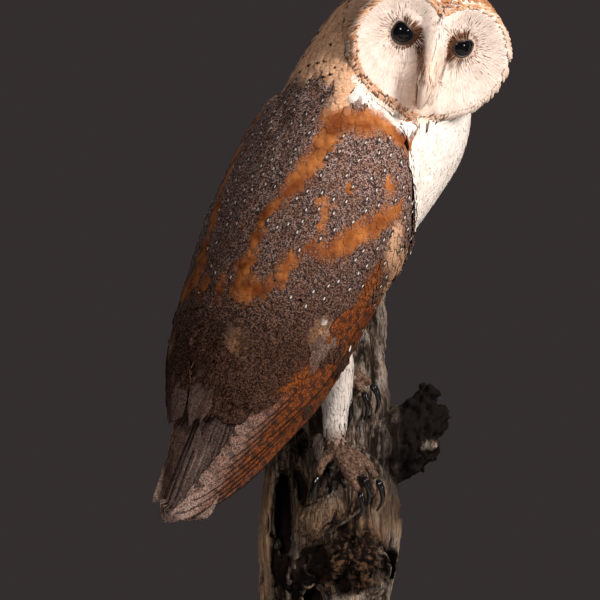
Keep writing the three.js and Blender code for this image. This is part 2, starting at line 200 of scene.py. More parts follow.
def add_pad(swing, radius, height, size, turned):
    """An oval pad at an angle from the spine (degrees), a radius and a height (mm), level or turned outwards."""
    turn = math.radians(swing)
    spot = from_body(np.array([math.sin(turn) * radius, -math.cos(turn) * radius, height]) * MM)
    place = Matrix.Translation(spot) @ Matrix(BODY.T).to_4x4() @ Matrix.Rotation(turn if turned else 0, 4, "Z")
    place = place @ Matrix.Diagonal((*size, 1))
    bmesh.ops.create_uvsphere(flesh, u_segments=12, v_segments=8, radius=MM, matrix=place)


for height, radius in SPINE:
    for swing in (-6, 0, 6):
        add_pad(swing, radius, height, SPINE_PAD, False)
for swing in SHOULDER_SWINGS:
    add_pad(swing, SHOULDER_RADIUS, SHOULDER_HEIGHT, SHOULDER_PAD, True)
print("pad faces:", len(flesh.faces))

# %% Cut the flesh to length and fuse it
for name in FLESH:
    part = bmesh.new()
    part.from_mesh(nodes[name].data)
    bmesh.ops.remove_doubles(part, verts=part.verts, dist=1e-6)
    if name in FLESH_END:
        cut = from_body(np.array([0, 0, FLESH_END[name]]) * MM)
        everything = part.verts[:] + part.edges[:] + part.faces[:]
        bmesh.ops.bisect_plane(part, geom=everything, plane_co=cut, plane_no=-axis, clear_outer=True)
        bmesh.ops.holes_fill(part, edges=[e for e in part.edges if e.is_boundary])
    spare = bpy.data.meshes.new("spare")
    part.to_mesh(spare)
    part.free()
    flesh.from_mesh(spare)
    bpy.data.meshes.remove(spare)
skin_mesh = fused("skin", flesh, 1.5 * MM)
soften(skin_mesh, 8, lambda p: 0.05 + 0.5 * ramp(p[:, 2], 0.19, 0.21))
soften(skin_mesh, 22, lambda p: 0.5 * ramp(-in_body(p)[:, 2], -0.03, 0.0) * ramp(p[:, 2], 0.2, 0.22))
print("skin faces:", len(skin_mesh.polygons))

# %% [markdown]
# Every point of the skin belongs to a part of the bird: the nearest solid tells which. The part decides how deep the
# coat is, how long its feathers are and how they are coloured.

# %% Name the parts of the skin
shell, shell_owner = bmesh_of(FLESH)
shell_tree = BVHTree.FromBMesh(shell)
shell.free()
PART = {name: number for number, name in enumerate(FLESH)}


def parts_of(points):
    """The part of the bird that each place belongs to."""
    return np.array([shell_owner[shell_tree.find_nearest(p)[2]] for p in points])


def is_part(parts, *names):
    return np.isin(parts, [PART[n] for n in names])


skin_points = read(skin_mesh.vertices, "co", 3)
skin_normals = read(skin_mesh.vertices, "normal", 3)
skin_parts = parts_of(skin_points)
print("points of each part:", dict(zip(FLESH, np.bincount(skin_parts, minlength=len(FLESH)).tolist())))

# %% [markdown]
# Feathers need room. The skin lies deeper than the solids by the depth of the coat: four millimetres on the breast,
# hardly any on the toes. Round the face the neck is kept behind the facial disc, whose heart shape is given as a
# distance from its middle for each direction.

# %% Depth of the coat and outline of the facial disc
def face_share(points):
    """1 on the facial disc, 0 behind its rim."""
    return ramp(-in_head(points)[:, 1], 14 * MM, 20 * MM)


def coat_depth(points, parts):
    """How deep the coat is at each place, in metres."""
    along = in_body(points)[:, 2] / MM
    depth = np.full(len(points), 4.0)
    wings = is_part(parts, "wing_right", "wing_left", "tail")
    depth = np.where(wings, 3.4 - 2.6 * ramp(-along, 50, 105), depth)
    head = is_part(parts, "head")
    depth = np.where(head, 3.0 - 1.6 * face_share(points), depth)
    depth = np.where(is_part(parts, "leg_right", "leg_left"), 2.0, depth)
    return np.where(is_part(parts, "foot_right", "foot_left"), 0.3, depth) * MM


# turn from the crown (degrees) and distance of the disc's rim from its middle (mm)
HEART = np.array([(0, 21), (14, 28), (31, 36), (51, 42), (86, 46), (118, 44), (138, 40), (160, 37.5), (180, 39.5)])


def rim_reach(head):
    """Distance from the middle of the disc, and that of the heart-shaped rim on the same ray (mm)."""
    turn = np.degrees(np.arctan2(np.abs(head[..., 0]), head[..., 2] + 6))
    return np.hypot(head[..., 0], head[..., 2] + 6), np.interp(turn, HEART[:, 0], HEART[:, 1])


def disc_limit(head):
    """How far forward neck and breast may come near the facial disc, as a place along the head's Y (mm)."""
    reach, edge = rim_reach(head)
    share = np.clip(reach / edge, 0, 1)
    x, z = head[..., 0], head[..., 2]
    dish = 7 * (1 - share**2) * ramp(np.abs(x), 3, 13)
    ridge = 9 * np.exp(-((x / 8) ** 2)) * np.exp(-(((z + 16) / 20) ** 2))
    outside = -19 - 1.3 * (reach - edge) - 9 * ramp(reach - edge, 3, 13)
    return np.where(reach < edge, dish - ridge - 23.6, outside)


# %% Draw the skin in under the coat
skin_points -= skin_normals * coat_depth(skin_points, skin_parts)[:, None]
head_places = in_head(skin_points) / MM
reach, edge = rim_reach(head_places)
limit = disc_limit(head_places)
proud = ~is_part(skin_parts, "head") & (head_places[:, 1] < limit)
proud &= (head_places[:, 2] < 12) & (reach < edge + 14)
head_places[proud, 1] = limit[proud]
skin_points[proud] = from_head(head_places[proud] * MM)
skin_parts[(reach < edge - 0.5) & (head_places[:, 1] < -4)] = PART["head"]
skin_mesh.vertices.foreach_set("co", skin_points.ravel())
near_disc = (reach < edge + 16) & (head_places[:, 1] < 0) & (head_places[:, 2] < 8)
near_disc &= head_places[:, 2] < -14 + 0.4 * reach
soften(skin_mesh, 6, lambda p: 0.5 * near_disc)
skin_points = read(skin_mesh.vertices, "co", 3)
skin = new_object("skin", skin_mesh)
skin_mesh.calc_loop_triangles()
tri_verts = np.empty(len(skin_mesh.loop_triangles) * 3, dtype=np.int32)
skin_mesh.loop_triangles.foreach_get("vertices", tri_verts)
tri_verts = tri_verts.reshape(-1, 3)
skin_normals = read(skin_mesh.vertices, "normal", 3)
skin_tree = BVHTree.FromPolygons(skin_points.tolist(), tri_verts.tolist())
print("skin triangles:", len(tri_verts))

# %% [markdown]
# Two flat maps follow from the shape itself. The first opens the body like a paper tube round its long axis and the
# head like two discs, seen from the face and from the nape. Each feather keeps the place of its root on that map,
# so what is painted later at one place on the bird lands in one place on the map.

# %% Open the skin onto a flat map
TUBE = (0.01, 0.01, 0.62, 0.98)
FACE_DISC, NAPE_DISC, LEG_BOX = (0.82, 0.17, 0.15), (0.82, 0.5, 0.15), (0.66, 0.68, 0.32, 0.3)


def unwrap(points, parts, seam=None):
    """Where points of the skin lie on the map. seam holds the angle near which each tube point is opened."""
    body = in_body(points)
    angle = np.arctan2(body[:, 0], -body[:, 1])
    if seam is not None:
        angle = seam + (angle - seam + math.pi) % (2 * math.pi) - math.pi
    low, high = -0.215, 0.155
    tube = np.stack([
        TUBE[0] + TUBE[2] * (angle / (2 * math.pi) + 0.5),
        TUBE[1] + TUBE[3] * (body[:, 2] - low) / (high - low),
    ], 1)
    head = in_head(points)
    polar = np.arctan2(np.hypot(head[:, 0], head[:, 2]), -head[:, 1])
    turn = np.arctan2(head[:, 0], head[:, 2])
    front = polar < math.pi / 2
    reach = np.where(front, polar, math.pi - polar) / (math.pi / 2)
    across = np.where(front, FACE_DISC[0], NAPE_DISC[0]) + FACE_DISC[2] * reach * np.sin(turn)
    above = np.where(front, FACE_DISC[1], NAPE_DISC[1]) + FACE_DISC[2] * reach * np.cos(turn)
    disc = np.stack([across, above], 1)
    leg = is_part(parts, "leg_left", "foot_left")
    feet = np.array([[4, -40], [0, -24]])[leg.astype(int)] * MM
    swing = np.arctan2(points[:, 0] - feet[:, 0], -(points[:, 1] - feet[:, 1])) / (2 * math.pi) + 0.5
    rise = np.clip((points[:, 2] - 0.1) / 0.14, 0, 1)
    legs = np.stack([LEG_BOX[0] + LEG_BOX[2] * (swing * 0.48 + 0.5 * leg), LEG_BOX[1] + LEG_BOX[3] * rise], 1)
    flat = np.where(is_part(parts, "head")[:, None], disc, tube)
    return np.where(is_part(parts, "leg_right", "leg_left", "foot_right", "foot_left")[:, None], legs, flat)


def put_uv(mesh, name, uv):
    layer = mesh.uv_layers.get(name) or mesh.uv_layers.new(name=name)
    layer.data.foreach_set("uv", np.ascontiguousarray(uv, dtype=np.float32).ravel())


loop_vert = np.empty(len(skin_mesh.loops), dtype=np.int32)
skin_mesh.loops.foreach_get("vertex_index", loop_vert)
loop_total = np.empty(len(skin_mesh.polygons), dtype=np.int32)
skin_mesh.polygons.foreach_get("loop_total", loop_total)
first = np.repeat(np.cumsum(loop_total) - loop_total, loop_total)
lead = loop_vert[first]
lead_body = in_body(skin_points[lead])
put_uv(
    skin_mesh,
    "OFBake",
    unwrap(skin_points[loop_vert], skin_parts[lead], np.arctan2(lead_body[:, 0], -lead_body[:, 1])),
)
print("corners on the map:", len(loop_vert))

# %% [markdown]
# The colours of a barn owl are a pattern of zones: white below, buff on the nape, and on the back and wings a
# golden-orange ground that shows between panels of fine grey-and-black vermiculation. The zones are written as named
# strokes on the body, in degrees from the spine and millimetres along it, and mirrored to both sides.

# %% Lay out the markings
GREY, BUFF, ORANGE, DEEP, PALE = range(5)
# name: colour, then strokes of degrees from the spine, millimetres along the axis and radius, ...
STROKES = {
    "shoulder": (ORANGE, (34, 40, 6), (46, 43, 6.5), (60, 55, 6.5), (76, 51, 5.5), (88, 52, 4)),
    "wing edge": (ORANGE, (98, 48, 3.5), (107, 38, 3.5), (112, 26, 2)),
    "scapular line": (
        ORANGE, (36, 30, 4.8), (33, 12, 4.5), (31, -5, 4.2), (25, -15, 2), (21, -28, 2.2), (21, -42, 2.4)
    ),
    "patch near the spine": (ORANGE, (22, -50, 3.5), (20, -60, 4.2)),
    "lower patch": (ORANGE, (23, -67, 5.2), (35, -70, 5.6), (42, -66, 3)),
    "slip": (ORANGE, (46, -46, 2.6), (47, -57, 2.4)),
    "spine fleck": (ORANGE, (8, -66, 2.8), (9, -76, 2)),
    "band": (ORANGE, (54, -36, 2.6), (67, -30, 4.6), (78, -10, 4.6), (86, 4, 4), (93, 17, 2.4)),
    "flecks": (ORANGE, (52, -9, 2.4), (52.5, -9.5, 2.4)),
    "low fleck": (ORANGE, (53, -19, 1.8), (53, -23, 1.8)),
    "high fleck": (ORANGE, (78, 21, 3), (79, 19, 3)),
    "middle fleck": (ORANGE, (58, 6, 1.8), (60, 4, 1.8)),
    "nape edge": (BUFF, (24, 68, 3), (30, 58, 4), (33, 47, 4)),
    "wrist": (BUFF, (97, 4, 4), (104, -8, 4.4)),
    "carpal": (BUFF, (118, -6, 6), (127, -18, 7)),
    "thumb": (DEEP, (102, -22, 4.6), (106, -48, 4.6)),
    "tan": (BUFF, (84, -72, 3.4), (92, -66, 3)),
    "pale": (PALE, (98, -67, 3.4), (93, -80, 4.4)),
    "low wash": (DEEP, (93, -96, 5), (92, -110, 5)),
    "wash": (BUFF, (30, -96, 2.4), (42, -100, 2)),
}
DEGREE = 0.9  # millimetres on the chart for each degree round the body


def wobble(points, size):
    """A cheap smooth noise from a few sines, about -1 to 1."""
    q = points / size
    a = np.sin(q[:, 0] * 2.1 + 1.7 * np.sin(q[:, 1] * 1.3 + q[:, 2]))
    b = np.sin(q[:, 1] * 2.7 + 1.3 * np.sin(q[:, 2] * 1.9 - q[:, 0]) + 2)
    c = np.sin(q[:, 2] * 2.3 + 1.5 * np.sin(q[:, 0] * 1.7 + q[:, 1] * 0.7) + 4)
    return (a + b + c) / 3


def stroke_weight(chart, strokes, fray):
    """How much of a stroke lies at each place of the chart."""
    best = np.zeros(len(chart))
    for (a0, z0, r0), (a1, z1, r1) in zip(strokes, strokes[1:]):
        start, run = np.array([a0 * DEGREE, z0]), np.array([(a1 - a0) * DEGREE, z1 - z0])
        t = np.clip(((chart - start) @ run) / max(run @ run, 1e-9), 0, 1)
        away = np.linalg.norm(chart - start - t[:, None] * run, axis=1) + fray
        radius = r0 + (r1 - r0) * t
        best = np.maximum(best, 1 - ramp(away, radius * 0.4, radius * 1.75))
    return best


print("strokes:", len(STROKES))

# %% [markdown]
# One function answers for every place on the bird how much of each colour lies there. Strokes come first, then the
# head, which has its own zones: golden crown and brow, buff hood, white cheeks.

# %% Weigh the colours
def markings(points, parts):
    """Weights of the colours, each laid over the ones before: grey, buff, orange, deep orange, pale grey-brown."""
    body, head = in_body(points), in_head(points) / MM
    angle = np.abs(np.degrees(np.arctan2(body[:, 0], -body[:, 1])))
    along = body[:, 2] / MM
    rough = wobble(points, 5 * MM)
    fine = wobble(points, 1.6 * MM)
    fray = 1.6 * rough + 1.1 * fine - 0.4
    weight = np.zeros((len(points), 5))
    wings = is_part(parts, "wing_right", "wing_left")
    torso = is_part(parts, "trunk", "neck")
    back = wings | (torso & (angle < 88 + 5 * rough)) | is_part(parts, "tail")
    weight[:, GREY] = np.where(back, 1.0, 0.0)
    nape = np.where(torso | wings, ramp(along + 7 * rough, 58, 70), 0.0) * back
    weight[:, BUFF] = nape
    weight[:, BUFF] *= np.where(wobble(points, 7 * MM) > 0.55, 0.6, 1.0)
    side = ramp(angle + 4 * rough, 29, 38) * ramp(along + 3 * rough, 54.5, 58.5) * (torso | wings)
    weight *= (1 - side)[:, None]
    chart = np.stack([angle * DEGREE, along], 1)
    for colour, *strokes in STROKES.values():
        amount = stroke_weight(chart, strokes, fray) * back
        weight[:, colour + 1 :] *= (1 - amount)[:, None] if colour != BUFF else 1
        weight[:, colour] = np.maximum(weight[:, colour], amount)
    hood = is_part(parts, "head")
    crown = ramp(head[:, 2] + 4 * rough + 0.35 * head[:, 1], 8, 24)
    back_of_head = ramp(head[:, 1], -26, -14)
    cheek = (1 - crown) * ramp(-head[:, 2] - 0.5 * head[:, 1] + 3 * rough, 14, 26)
    hooded = back_of_head * hood
    brow = ramp(head[:, 2] + 2 * rough, 12, 24) * hood
    golden = np.maximum(0.5 * hooded * crown, 0.45 * brow) + 0.35 * ramp(-head[:, 1], 2, 10)
    weight[:, ORANGE] = np.where(hood, golden, weight[:, ORANGE])
    weight[:, BUFF] = np.where(hood, np.maximum(hooded * (1 - cheek), brow) * 0.9, weight[:, BUFF])
    weight[:, GREY] = np.where(hood, hooded * crown * ramp(rough, 0.1, 0.5) * 0.6, weight[:, GREY])
    return np.clip(weight, 0, 1)


# %% [markdown]
# The same numbers go to skin and feathers as two colour attributes. The finish reads them and mixes its colours, so
# markings never depend on how a piece is cut up.

# %% Store the markings on a mesh
def put_colour(mesh, name, values):
    rgba = np.ones((len(values), 4), dtype=np.float32)
    rgba[:, : values.shape[1]] = values
    layer = mesh.attributes.new(name, "FLOAT_COLOR", "POINT")
    layer.data.foreach_set("color", rgba.ravel())


def put_markings(mesh, weight, shade, along, across, bare=0.0):
    """Stores weights, place on the vane and shade on the corners or points of a mesh."""
    put_colour(mesh, "ground", weight[:, :3])
    put_colour(mesh, "extra", np.stack([weight[:, DEEP], weight[:, PALE], shade], 1))
    put_colour(mesh, "vane_place", np.stack([along, across, bare + np.zeros(len(along))], 1))


skin_weights = markings(skin_points, skin_parts)
bare_toes = is_part(skin_parts, "foot_right", "foot_left").astype(float)
even = np.full(len(skin_points), 0.4)
put_markings(skin_mesh, skin_weights, even, even, 0 * even, bare_toes)
print("mean weights of the colours:", skin_weights.mean(0).round(2))
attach(skin, "root")
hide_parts(*FLESH)

# %% [markdown]
# A contour feather is a thin curved vane on a short quill. It could be a hair or a flat card, but a small closed solid
# shades well from both sides and survives export. A sphere of four meridians is the cheapest one: its poles become
# quill and tip, its sides the edges of the vane. Its points are kept as numbers and laid out thousands of times.

# %% Model one vane
def vane(around, rings):
    """Points of a flattened ball as (station, across, height), and its faces, with the quill at station 0."""
    ball = bmesh.new()
    bmesh.ops.create_uvsphere(ball, u_segments=around, v_segments=rings + 1, radius=1)
    points = np.array([v.co for v in ball.verts])
    faces = [[v.index for v in f.verts] for f in ball.faces]
    ball.free()
    station = np.rint((1 - np.arccos(np.clip(points[:, 2], -1, 1)) / math.pi) * (rings + 1)).astype(int)
    size = np.maximum(np.hypot(points[:, 0], points[:, 1]), 1e-6)
    middle = (station > 0) & (station <= rings)
    across = np.where(middle, points[:, 0] / size, 0)
    height = np.where(middle, points[:, 1] / size, 0)
    return station, across, height, faces


CONTOUR = vane(4, 3)
BRISTLE = vane(3, 2)
print("a contour feather has", len(CONTOUR[3]), "faces")

# %% [markdown]
# Roots are scattered so that none is too near another, as follicles are on skin. Random points on the triangles are
# taken one by one, and kept only where their neighbourhood is still free.

# %% Scatter roots on the skin
corner = skin_points[tri_verts]
tri_area = np.linalg.norm(np.cross(corner[:, 1] - corner[:, 0], corner[:, 2] - corner[:, 0]), axis=1) / 2
tri_part = skin_parts[tri_verts[:, 0]]
tri_middle = corner.mean(1)


def scatter(where, spacing):
    """Roots, normals and parts on the triangles where the mask holds, spacing apart."""
    picked = np.flatnonzero(where)
    share = tri_area[picked] / tri_area[picked].sum()
    count = int(tri_area[picked].sum() / spacing**2 * 4.5)
    chosen = picked[rng.choice(len(picked), count, p=share)]
    a, b = rng.random((2, count, 1))
    fold = a + b > 1
    a, b = np.where(fold, 1 - a, a), np.where(fold, 1 - b, b)
    weights = np.stack([1 - a - b, a, b], 1)
    points = (corner[chosen] * weights).sum(1)
    normals = unit((skin_normals[tri_verts[chosen]] * weights).sum(1))
    grid, kept = {}, []
    cells = np.floor(points / spacing).astype(int)
    around = [(i, j, k) for i in (-1, 0, 1) for j in (-1, 0, 1) for k in (-1, 0, 1)]
    places = points.tolist()
    limit = spacing * spacing
    for n, (cx, cy, cz) in enumerate(cells.tolist()):
        x, y, z = places[n]
        for i, j, k in around:
            for m in grid.get((cx + i, cy + j, cz + k), ()):
                u, v, w = places[m]
                if (x - u) ** 2 + (y - v) ** 2 + (z - w) ** 2 < limit:
                    break
            else:
                continue
            break
        else:
            grid.setdefault((cx, cy, cz), []).append(n)
            kept.append(n)
    return points[kept], normals[kept], tri_part[chosen[kept]]


# %% [markdown]
# Feathers follow the lie of the coat: tailwards on the body, back and down over the head, and down the legs. Each one
# is bent along the skin: at every station the nearest point of the surface is looked up, and the vane is lifted off it
# a little more towards its tip. This is what makes thousands of small pieces read as one soft coat.

# %% Comb directions and bend lines
def combed(ways, normals, scatter_angle):
    """Directions in the plane of the skin, each turned by a small random angle."""
    flat = unit(ways - (ways * normals).sum(1, keepdims=True) * normals)
    spin = rng.normal(0, scatter_angle, (len(flat), 1))
    return flat * np.cos(spin) + np.cross(normals, flat) * np.sin(spin)


def path_on(tree, roots, ways, lengths, stations):
    """Points and normals on a surface under each station of each feather."""
    spots = np.empty((len(roots), len(stations), 3))
    normals = np.empty_like(spots)
    for j, share in enumerate(stations):
        reach = roots + ways * (lengths * share)[:, None]
        for i, spot in enumerate(reach.tolist()):
            near, normal, *_ = tree.find_nearest(spot)
            spots[i, j], normals[i, j] = near, normal
    return spots, normals


# %% [markdown]
# Thousands of vanes are joined into one mesh, because ten thousand objects would be slow. The points of the one
# modelled vane are set out along every centre line. The shading normals of upper faces lean towards those of the skin,
# and those of lower faces away from it, so the coat is lit as one soft surface and no vane looks like a hard chip.

# %% Join vanes into a piece
PATCH = 0.003  # size of one feather's patch on the map


def build_vanes(name, template, spots, normals, widths, thick, camber, colour, tone, root_uv, soft=2.5):
    """Joined vanes from centre lines: spots and normals (n, stations, 3), widths and tones (n, stations)."""
    station, across, height, faces = template
    along = unit(np.gradient(spots, axis=1))
    side = unit(np.cross(normals, along))
    up = np.cross(along, side)
    half = widths[:, station] * across
    points = spots[:, station] + side[:, station] * half[..., None]
    wide = widths[:, station]
    lift = thick * height * np.minimum(1, wide / (1 * MM)) - camber * across**2 * wide
    points += up[:, station] * lift[..., None]
    count, per = points.shape[:2]
    mesh = bpy.data.meshes.new(name)
    mesh.vertices.add(count * per)
    mesh.vertices.foreach_set("co", points.astype(np.float32).ravel())
    sizes = np.array([len(f) for f in faces])
    loops = (np.concatenate(faces)[None] + per * np.arange(count)[:, None]).ravel()
    mesh.loops.add(len(loops))
    mesh.loops.foreach_set("vertex_index", loops.astype(np.int32))
    starts = np.concatenate([[0], np.cumsum(np.tile(sizes, count))[:-1]])
    mesh.polygons.add(len(starts))
    mesh.polygons.foreach_set("loop_start", starts.astype(np.int32))
    mesh.polygons.foreach_set("use_smooth", np.ones(len(starts), dtype=bool))
    mesh.update(calc_edges=True)
    share = station / station.max()
    length = np.linalg.norm(np.diff(spots, axis=1), axis=2).sum(1)
    jitter = rng.random((count, 2)) * 40
    metric = np.stack([half / MM + jitter[:, :1], length[:, None] * share / MM + jitter[:, 1:]], 2)
    patch = PATCH / 2 * np.stack([across, 2 * share - 1], 1)
    put_uv(mesh, "OFBake", (root_uv[:, None] + patch).reshape(-1, 2)[loops])
    put_uv(mesh, "vane", (0.1 * metric).reshape(-1, 2)[loops])
    if tone.ndim == 1:
        tone = np.tile(tone[:, None], (1, spots.shape[1]))
    paint = colour[:, station].reshape(-1, 5)
    put_markings(mesh, paint, tone[:, station].ravel(), np.tile(share, count), np.tile(np.abs(across), count))
    if soft:
        own = read(mesh.vertices, "normal", 3)[loops]
        upper = [1 if height[f].mean() > -0.1 else -1 for f in faces]
        under = np.repeat(np.tile(upper, count), np.tile(sizes, count))
        blend = unit(own + soft * under[:, None] * normals[:, station].reshape(-1, 3)[loops])
        mesh.normals_split_custom_set(blend.tolist())
    made = new_object(name, mesh)
    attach(made, "root")
    print(name, "feathers:", count, "triangles:", count * int((sizes - 2).sum()))
    return made


# %% [markdown]
# Feathers near the ends of the wings reach past the skin, onto the quills. The surface that they follow is therefore
# the skin together with the thin ends of wings and tail.

# %% The surface that feathers follow
VANE_STATIONS = np.array([0, 0.22, 0.6, 0.9, 1.0])
VANE_WIDTH = np.array([0.25, 0.75, 1.0, 0.66, 0.1])
BRISTLE_STATIONS = np.array([0, 0.3, 0.75, 1.0])
BRISTLE_WIDTH = np.array([0.5, 1.0, 0.7, 0.05])
END_HEIGHT = -0.1
flow = bmesh.new()
flow.from_mesh(skin_mesh)
for name in FLESH_END:
    flow.from_mesh(nodes[name].data)
added = flow.faces[len(skin_mesh.polygons) :]
inner = [f for f in added if in_body(np.array([f.calc_center_median()]))[0, 2] > END_HEIGHT]
bmesh.ops.delete(flow, geom=inner, context="FACES")
flow_tree = BVHTree.FromBMesh(flow)
print("faces to follow:", len(flow.faces))
flow.free()

# %% [markdown]
# One function makes every region of the coat. Length, width, lift and slope may be numbers or functions of the place,
# so feathers can grow shorter towards the head. What would cross the facial disc is left out.

# %% Grow a region of the coat
def in_disc(head, margin, depth=-4):
    """Whether places in the head's frame (mm) lie inside the heart-shaped rim by a margin, and before a depth."""
    reach, edge = rim_reach(head)
    return (reach < edge - margin) & (head[..., 1] < depth)


def paint_along(spots, parts):
    """Markings of every station, drawn half way to those of the feather's middle."""
    count, stations = spots.shape[:2]
    each = markings(spots.reshape(-1, 3), np.repeat(parts, stations)).reshape(count, stations, 5)
    return 0.45 * each + 0.55 * each[:, stations // 2][:, None]


def clear_of_disc(spots):
    """Spots moved behind the facial disc, and the feathers that are neither in it nor moved far."""
    head = in_head(spots) / MM
    limit = disc_limit(head) - 4
    reach, edge = rim_reach(head)
    close = (head[..., 1] < limit) & (head[..., 2] < 12) & (reach < edge + 14)
    far = (close * (limit - head[..., 1])).max(1) > 6
    head[..., 1] = np.where(close, limit, head[..., 1])
    return from_head(head * MM), ~in_disc(head, -1.5).any(1) & ~far


def contour_coat(
    name, where, spacing, length, width, lift, ways, messy=0.12, colour=None, tree=None, freckle=0.0, soft=4,
    darken=None, hidden=None, template=CONTOUR, thick=0.12, camber=0.05, vary=0.05, slope=0.35,
    stations=VANE_STATIONS, outline=VANE_WIDTH,
):
    """A piece of coat: feathers of about the given length, width and lift in millimetres, on part of the skin."""
    roots, normals, parts = scatter(where, spacing * MM)
    ways = combed(ways(roots), normals, messy)
    value = lambda v: v(roots) if callable(v) else np.full(len(roots), float(v))
    lengths = value(length) * MM * (0.85 + 0.3 * rng.random(len(roots)))
    spots, surface = path_on(tree or flow_tree, roots, ways, lengths, stations)
    top = value(lift) * (1 - vary + 2 * vary * rng.random(len(roots))) * MM
    if darken is not None:
        burn = darken(spots)
    rise = value(slope)[:, None]
    spots += surface * (top[:, None] * (1 - rise + rise * stations**0.8))[..., None]
    if not is_part(parts, "head").any():
        spots, kept = clear_of_disc(spots)
        spots, surface, roots, parts = spots[kept], surface[kept], roots[kept], parts[kept]
    if hidden is not None:
        kept = ~hidden(spots)
        spots, surface, roots, parts = spots[kept], surface[kept], roots[kept], parts[kept]
    widths = (value(width) * MM / 2 * (0.85 + 0.3 * rng.random(len(roots))))[:, None] * outline
    paint = paint_along(spots, parts) if colour is None else colour(spots, parts)
    tone = np.tile(rng.random(len(roots))[:, None], (1, len(stations)))
    dotted = rng.random(len(roots)) < value(freckle) * paint[:, 2, BUFF]
    tone[dotted, -2:] = 2
    if darken is not None:
        tone = np.maximum(tone, burn)
    return build_vanes(
        name, template, spots, surface, widths, thick * MM, camber, paint, tone, unwrap(roots, parts), soft
    )


# %% Name the regions of the skin
tri_head = in_head(tri_middle) / MM
tri_body = in_body(tri_middle)
tri_angle = np.degrees(np.arctan2(tri_body[:, 0], -tri_body[:, 1]))
on_head = is_part(tri_part, "head")
on_wings = is_part(tri_part, "wing_right", "wing_left")
on_torso = is_part(tri_part, "neck", "trunk")
tailwards = lambda p: np.tile(-axis, (len(p), 1))
breast = on_torso & (np.abs(tri_angle) > 84)
print("skin areas, cm2:", [round(float(tri_area[m].sum() * 1e4)) for m in (on_head, on_wings, on_torso)])

# %% [markdown]
# The back and wings carry broad soft coverts that overlap like tiles. The breast and belly have looser, silkier
# feathers. Neck feathers are shorter, and those of the hood shorter still.

# %% Coverts of the wings, mantle and breast
height_of = lambda p: in_body(p)[:, 2] / MM
angle_of = lambda p: np.degrees(np.arctan2(in_body(p)[:, 0], -in_body(p)[:, 1]))
nape_freckle = lambda p: 0.07 * ramp(height_of(p), 30, 50)
covert_length = lambda p: 17 - 6 * ramp(height_of(p), 20, 75) + 4 * ramp(-height_of(p), 20, 80)
covert_width = lambda p: 6.6 - 2 * ramp(height_of(p), 20, 75) + 1.2 * ramp(-height_of(p), 20, 80)
wing_lift = lambda p: 3.4 - 2.2 * ramp(-height_of(p), 50, 105)


def covert_rise(points):
    """How steeply coverts leave the skin: more over the shoulder and along the edge of the wing."""
    height, swing = height_of(points), np.abs(angle_of(points))
    shoulder = 0.6 * ramp(height, 40, 52) * ramp(swing, 55, 70)
    wing_edge = 0.6 * ramp(swing, 88, 100) * ramp(height, -40, -20)
    return 0.3 + shoulder + wing_edge


def under_wing(spots):
    """Feathers of the belly that would come out through the folded wing."""
    place = in_body(spots)
    turn = np.abs(np.degrees(np.arctan2(place[..., 0], -place[..., 1])))
    return ((place[..., 2] < -25 * MM) & (turn < 112)).any(1)


# the quills lie open along this edge of the folded wing
bare_edge = (tri_body[:, 2] < -62 * MM) & (np.abs(tri_angle) > 104 - 0.5 * np.clip(-tri_body[:, 2] / MM - 60, 0, 60))
for side in ("right", "left"):
    contour_coat(
        f"coverts_{side}", is_part(tri_part, f"wing_{side}") & ~bare_edge, 2.3, covert_length, covert_width,
        wing_lift, tailwards, freckle=nape_freckle, slope=covert_rise,
    )
contour_coat(
    "mantle", on_torso & ~breast, 2.3, covert_length, covert_width, 3.8, tailwards,
    freckle=nape_freckle, slope=covert_rise,
)
contour_coat("breast", breast, 2.0, 14, 4.6, 3.8, tailwards, 0.1, vary=0.03, soft=4, slope=0.2, hidden=under_wing)

# %% [markdown]
# The hood is the coat of the head behind the facial disc. Its feathers start short at the rim and grow longer towards
# the nape, and their lie turns from backwards to tailwards on the way, so hood and nape join without an edge.

# %% Feathers of the hood
def hoodwards(points):
    """The lie of the hood: backwards over the head, then tailwards."""
    head = in_head(points) / MM
    drop = -0.35 - 0.5 * ramp(np.abs(head[:, 0]), 10, 40)
    back = np.stack([np.zeros(len(head)), np.ones(len(head)), drop], 1) @ HEAD.T
    turn = ramp(head[:, 1], 0, 34)[:, None]
    return unit(unit(back) * (1 - turn) - axis * turn)


hood = on_head & ~in_disc(tri_head, -0.5, -15)
hood_length = lambda p: 4.0 + 7.0 * ramp(in_head(p)[:, 1] / MM, -20, 15)
hood_width = lambda p: 1.5 + 1.9 * ramp(in_head(p)[:, 1] / MM, -22, 20)
hood_rise = lambda p: 0.3 + 0.7 * (1 - ramp(in_head(p)[:, 1] / MM, -2, 9))
contour_coat("hood", hood, 1.5, hood_length, hood_width, 2.8, hoodwards, 0.1, freckle=0.02, soft=4, slope=hood_rise)

# %% [markdown]
# A barn owl's legs are feathered down to the ankle, and its toes carry only sparse bristles between fine scales. The
# same coat function makes both, with a narrower vane for the bristles.

# %% Feathered legs
legs = is_part(tri_part, "leg_right", "leg_left") & (tri_middle[:, 2] < 0.199)
downwards = lambda p: np.tile([0.05, -0.1, -1.0], (len(p), 1))
leg_length = lambda p: 3.5 + 7.5 * ramp(p[:, 2], 0.148, 0.19)


def leg_paint(spots, parts):
    """White, dimmed by a breath of buff and a little pale grey-brown as painted shade, browner over the ankle."""
    ankle = (1 - ramp(spots[..., 2], 0.144, 0.157))[..., None]
    # above the ankle, the buff and pale grey-brown weights are painted shade on the white leg
    return np.array([0, 0.12, 0, 0, 0.14]) * (1 - ankle) + np.array([0, 0.75, 0, 0.45, 0.35]) * ankle


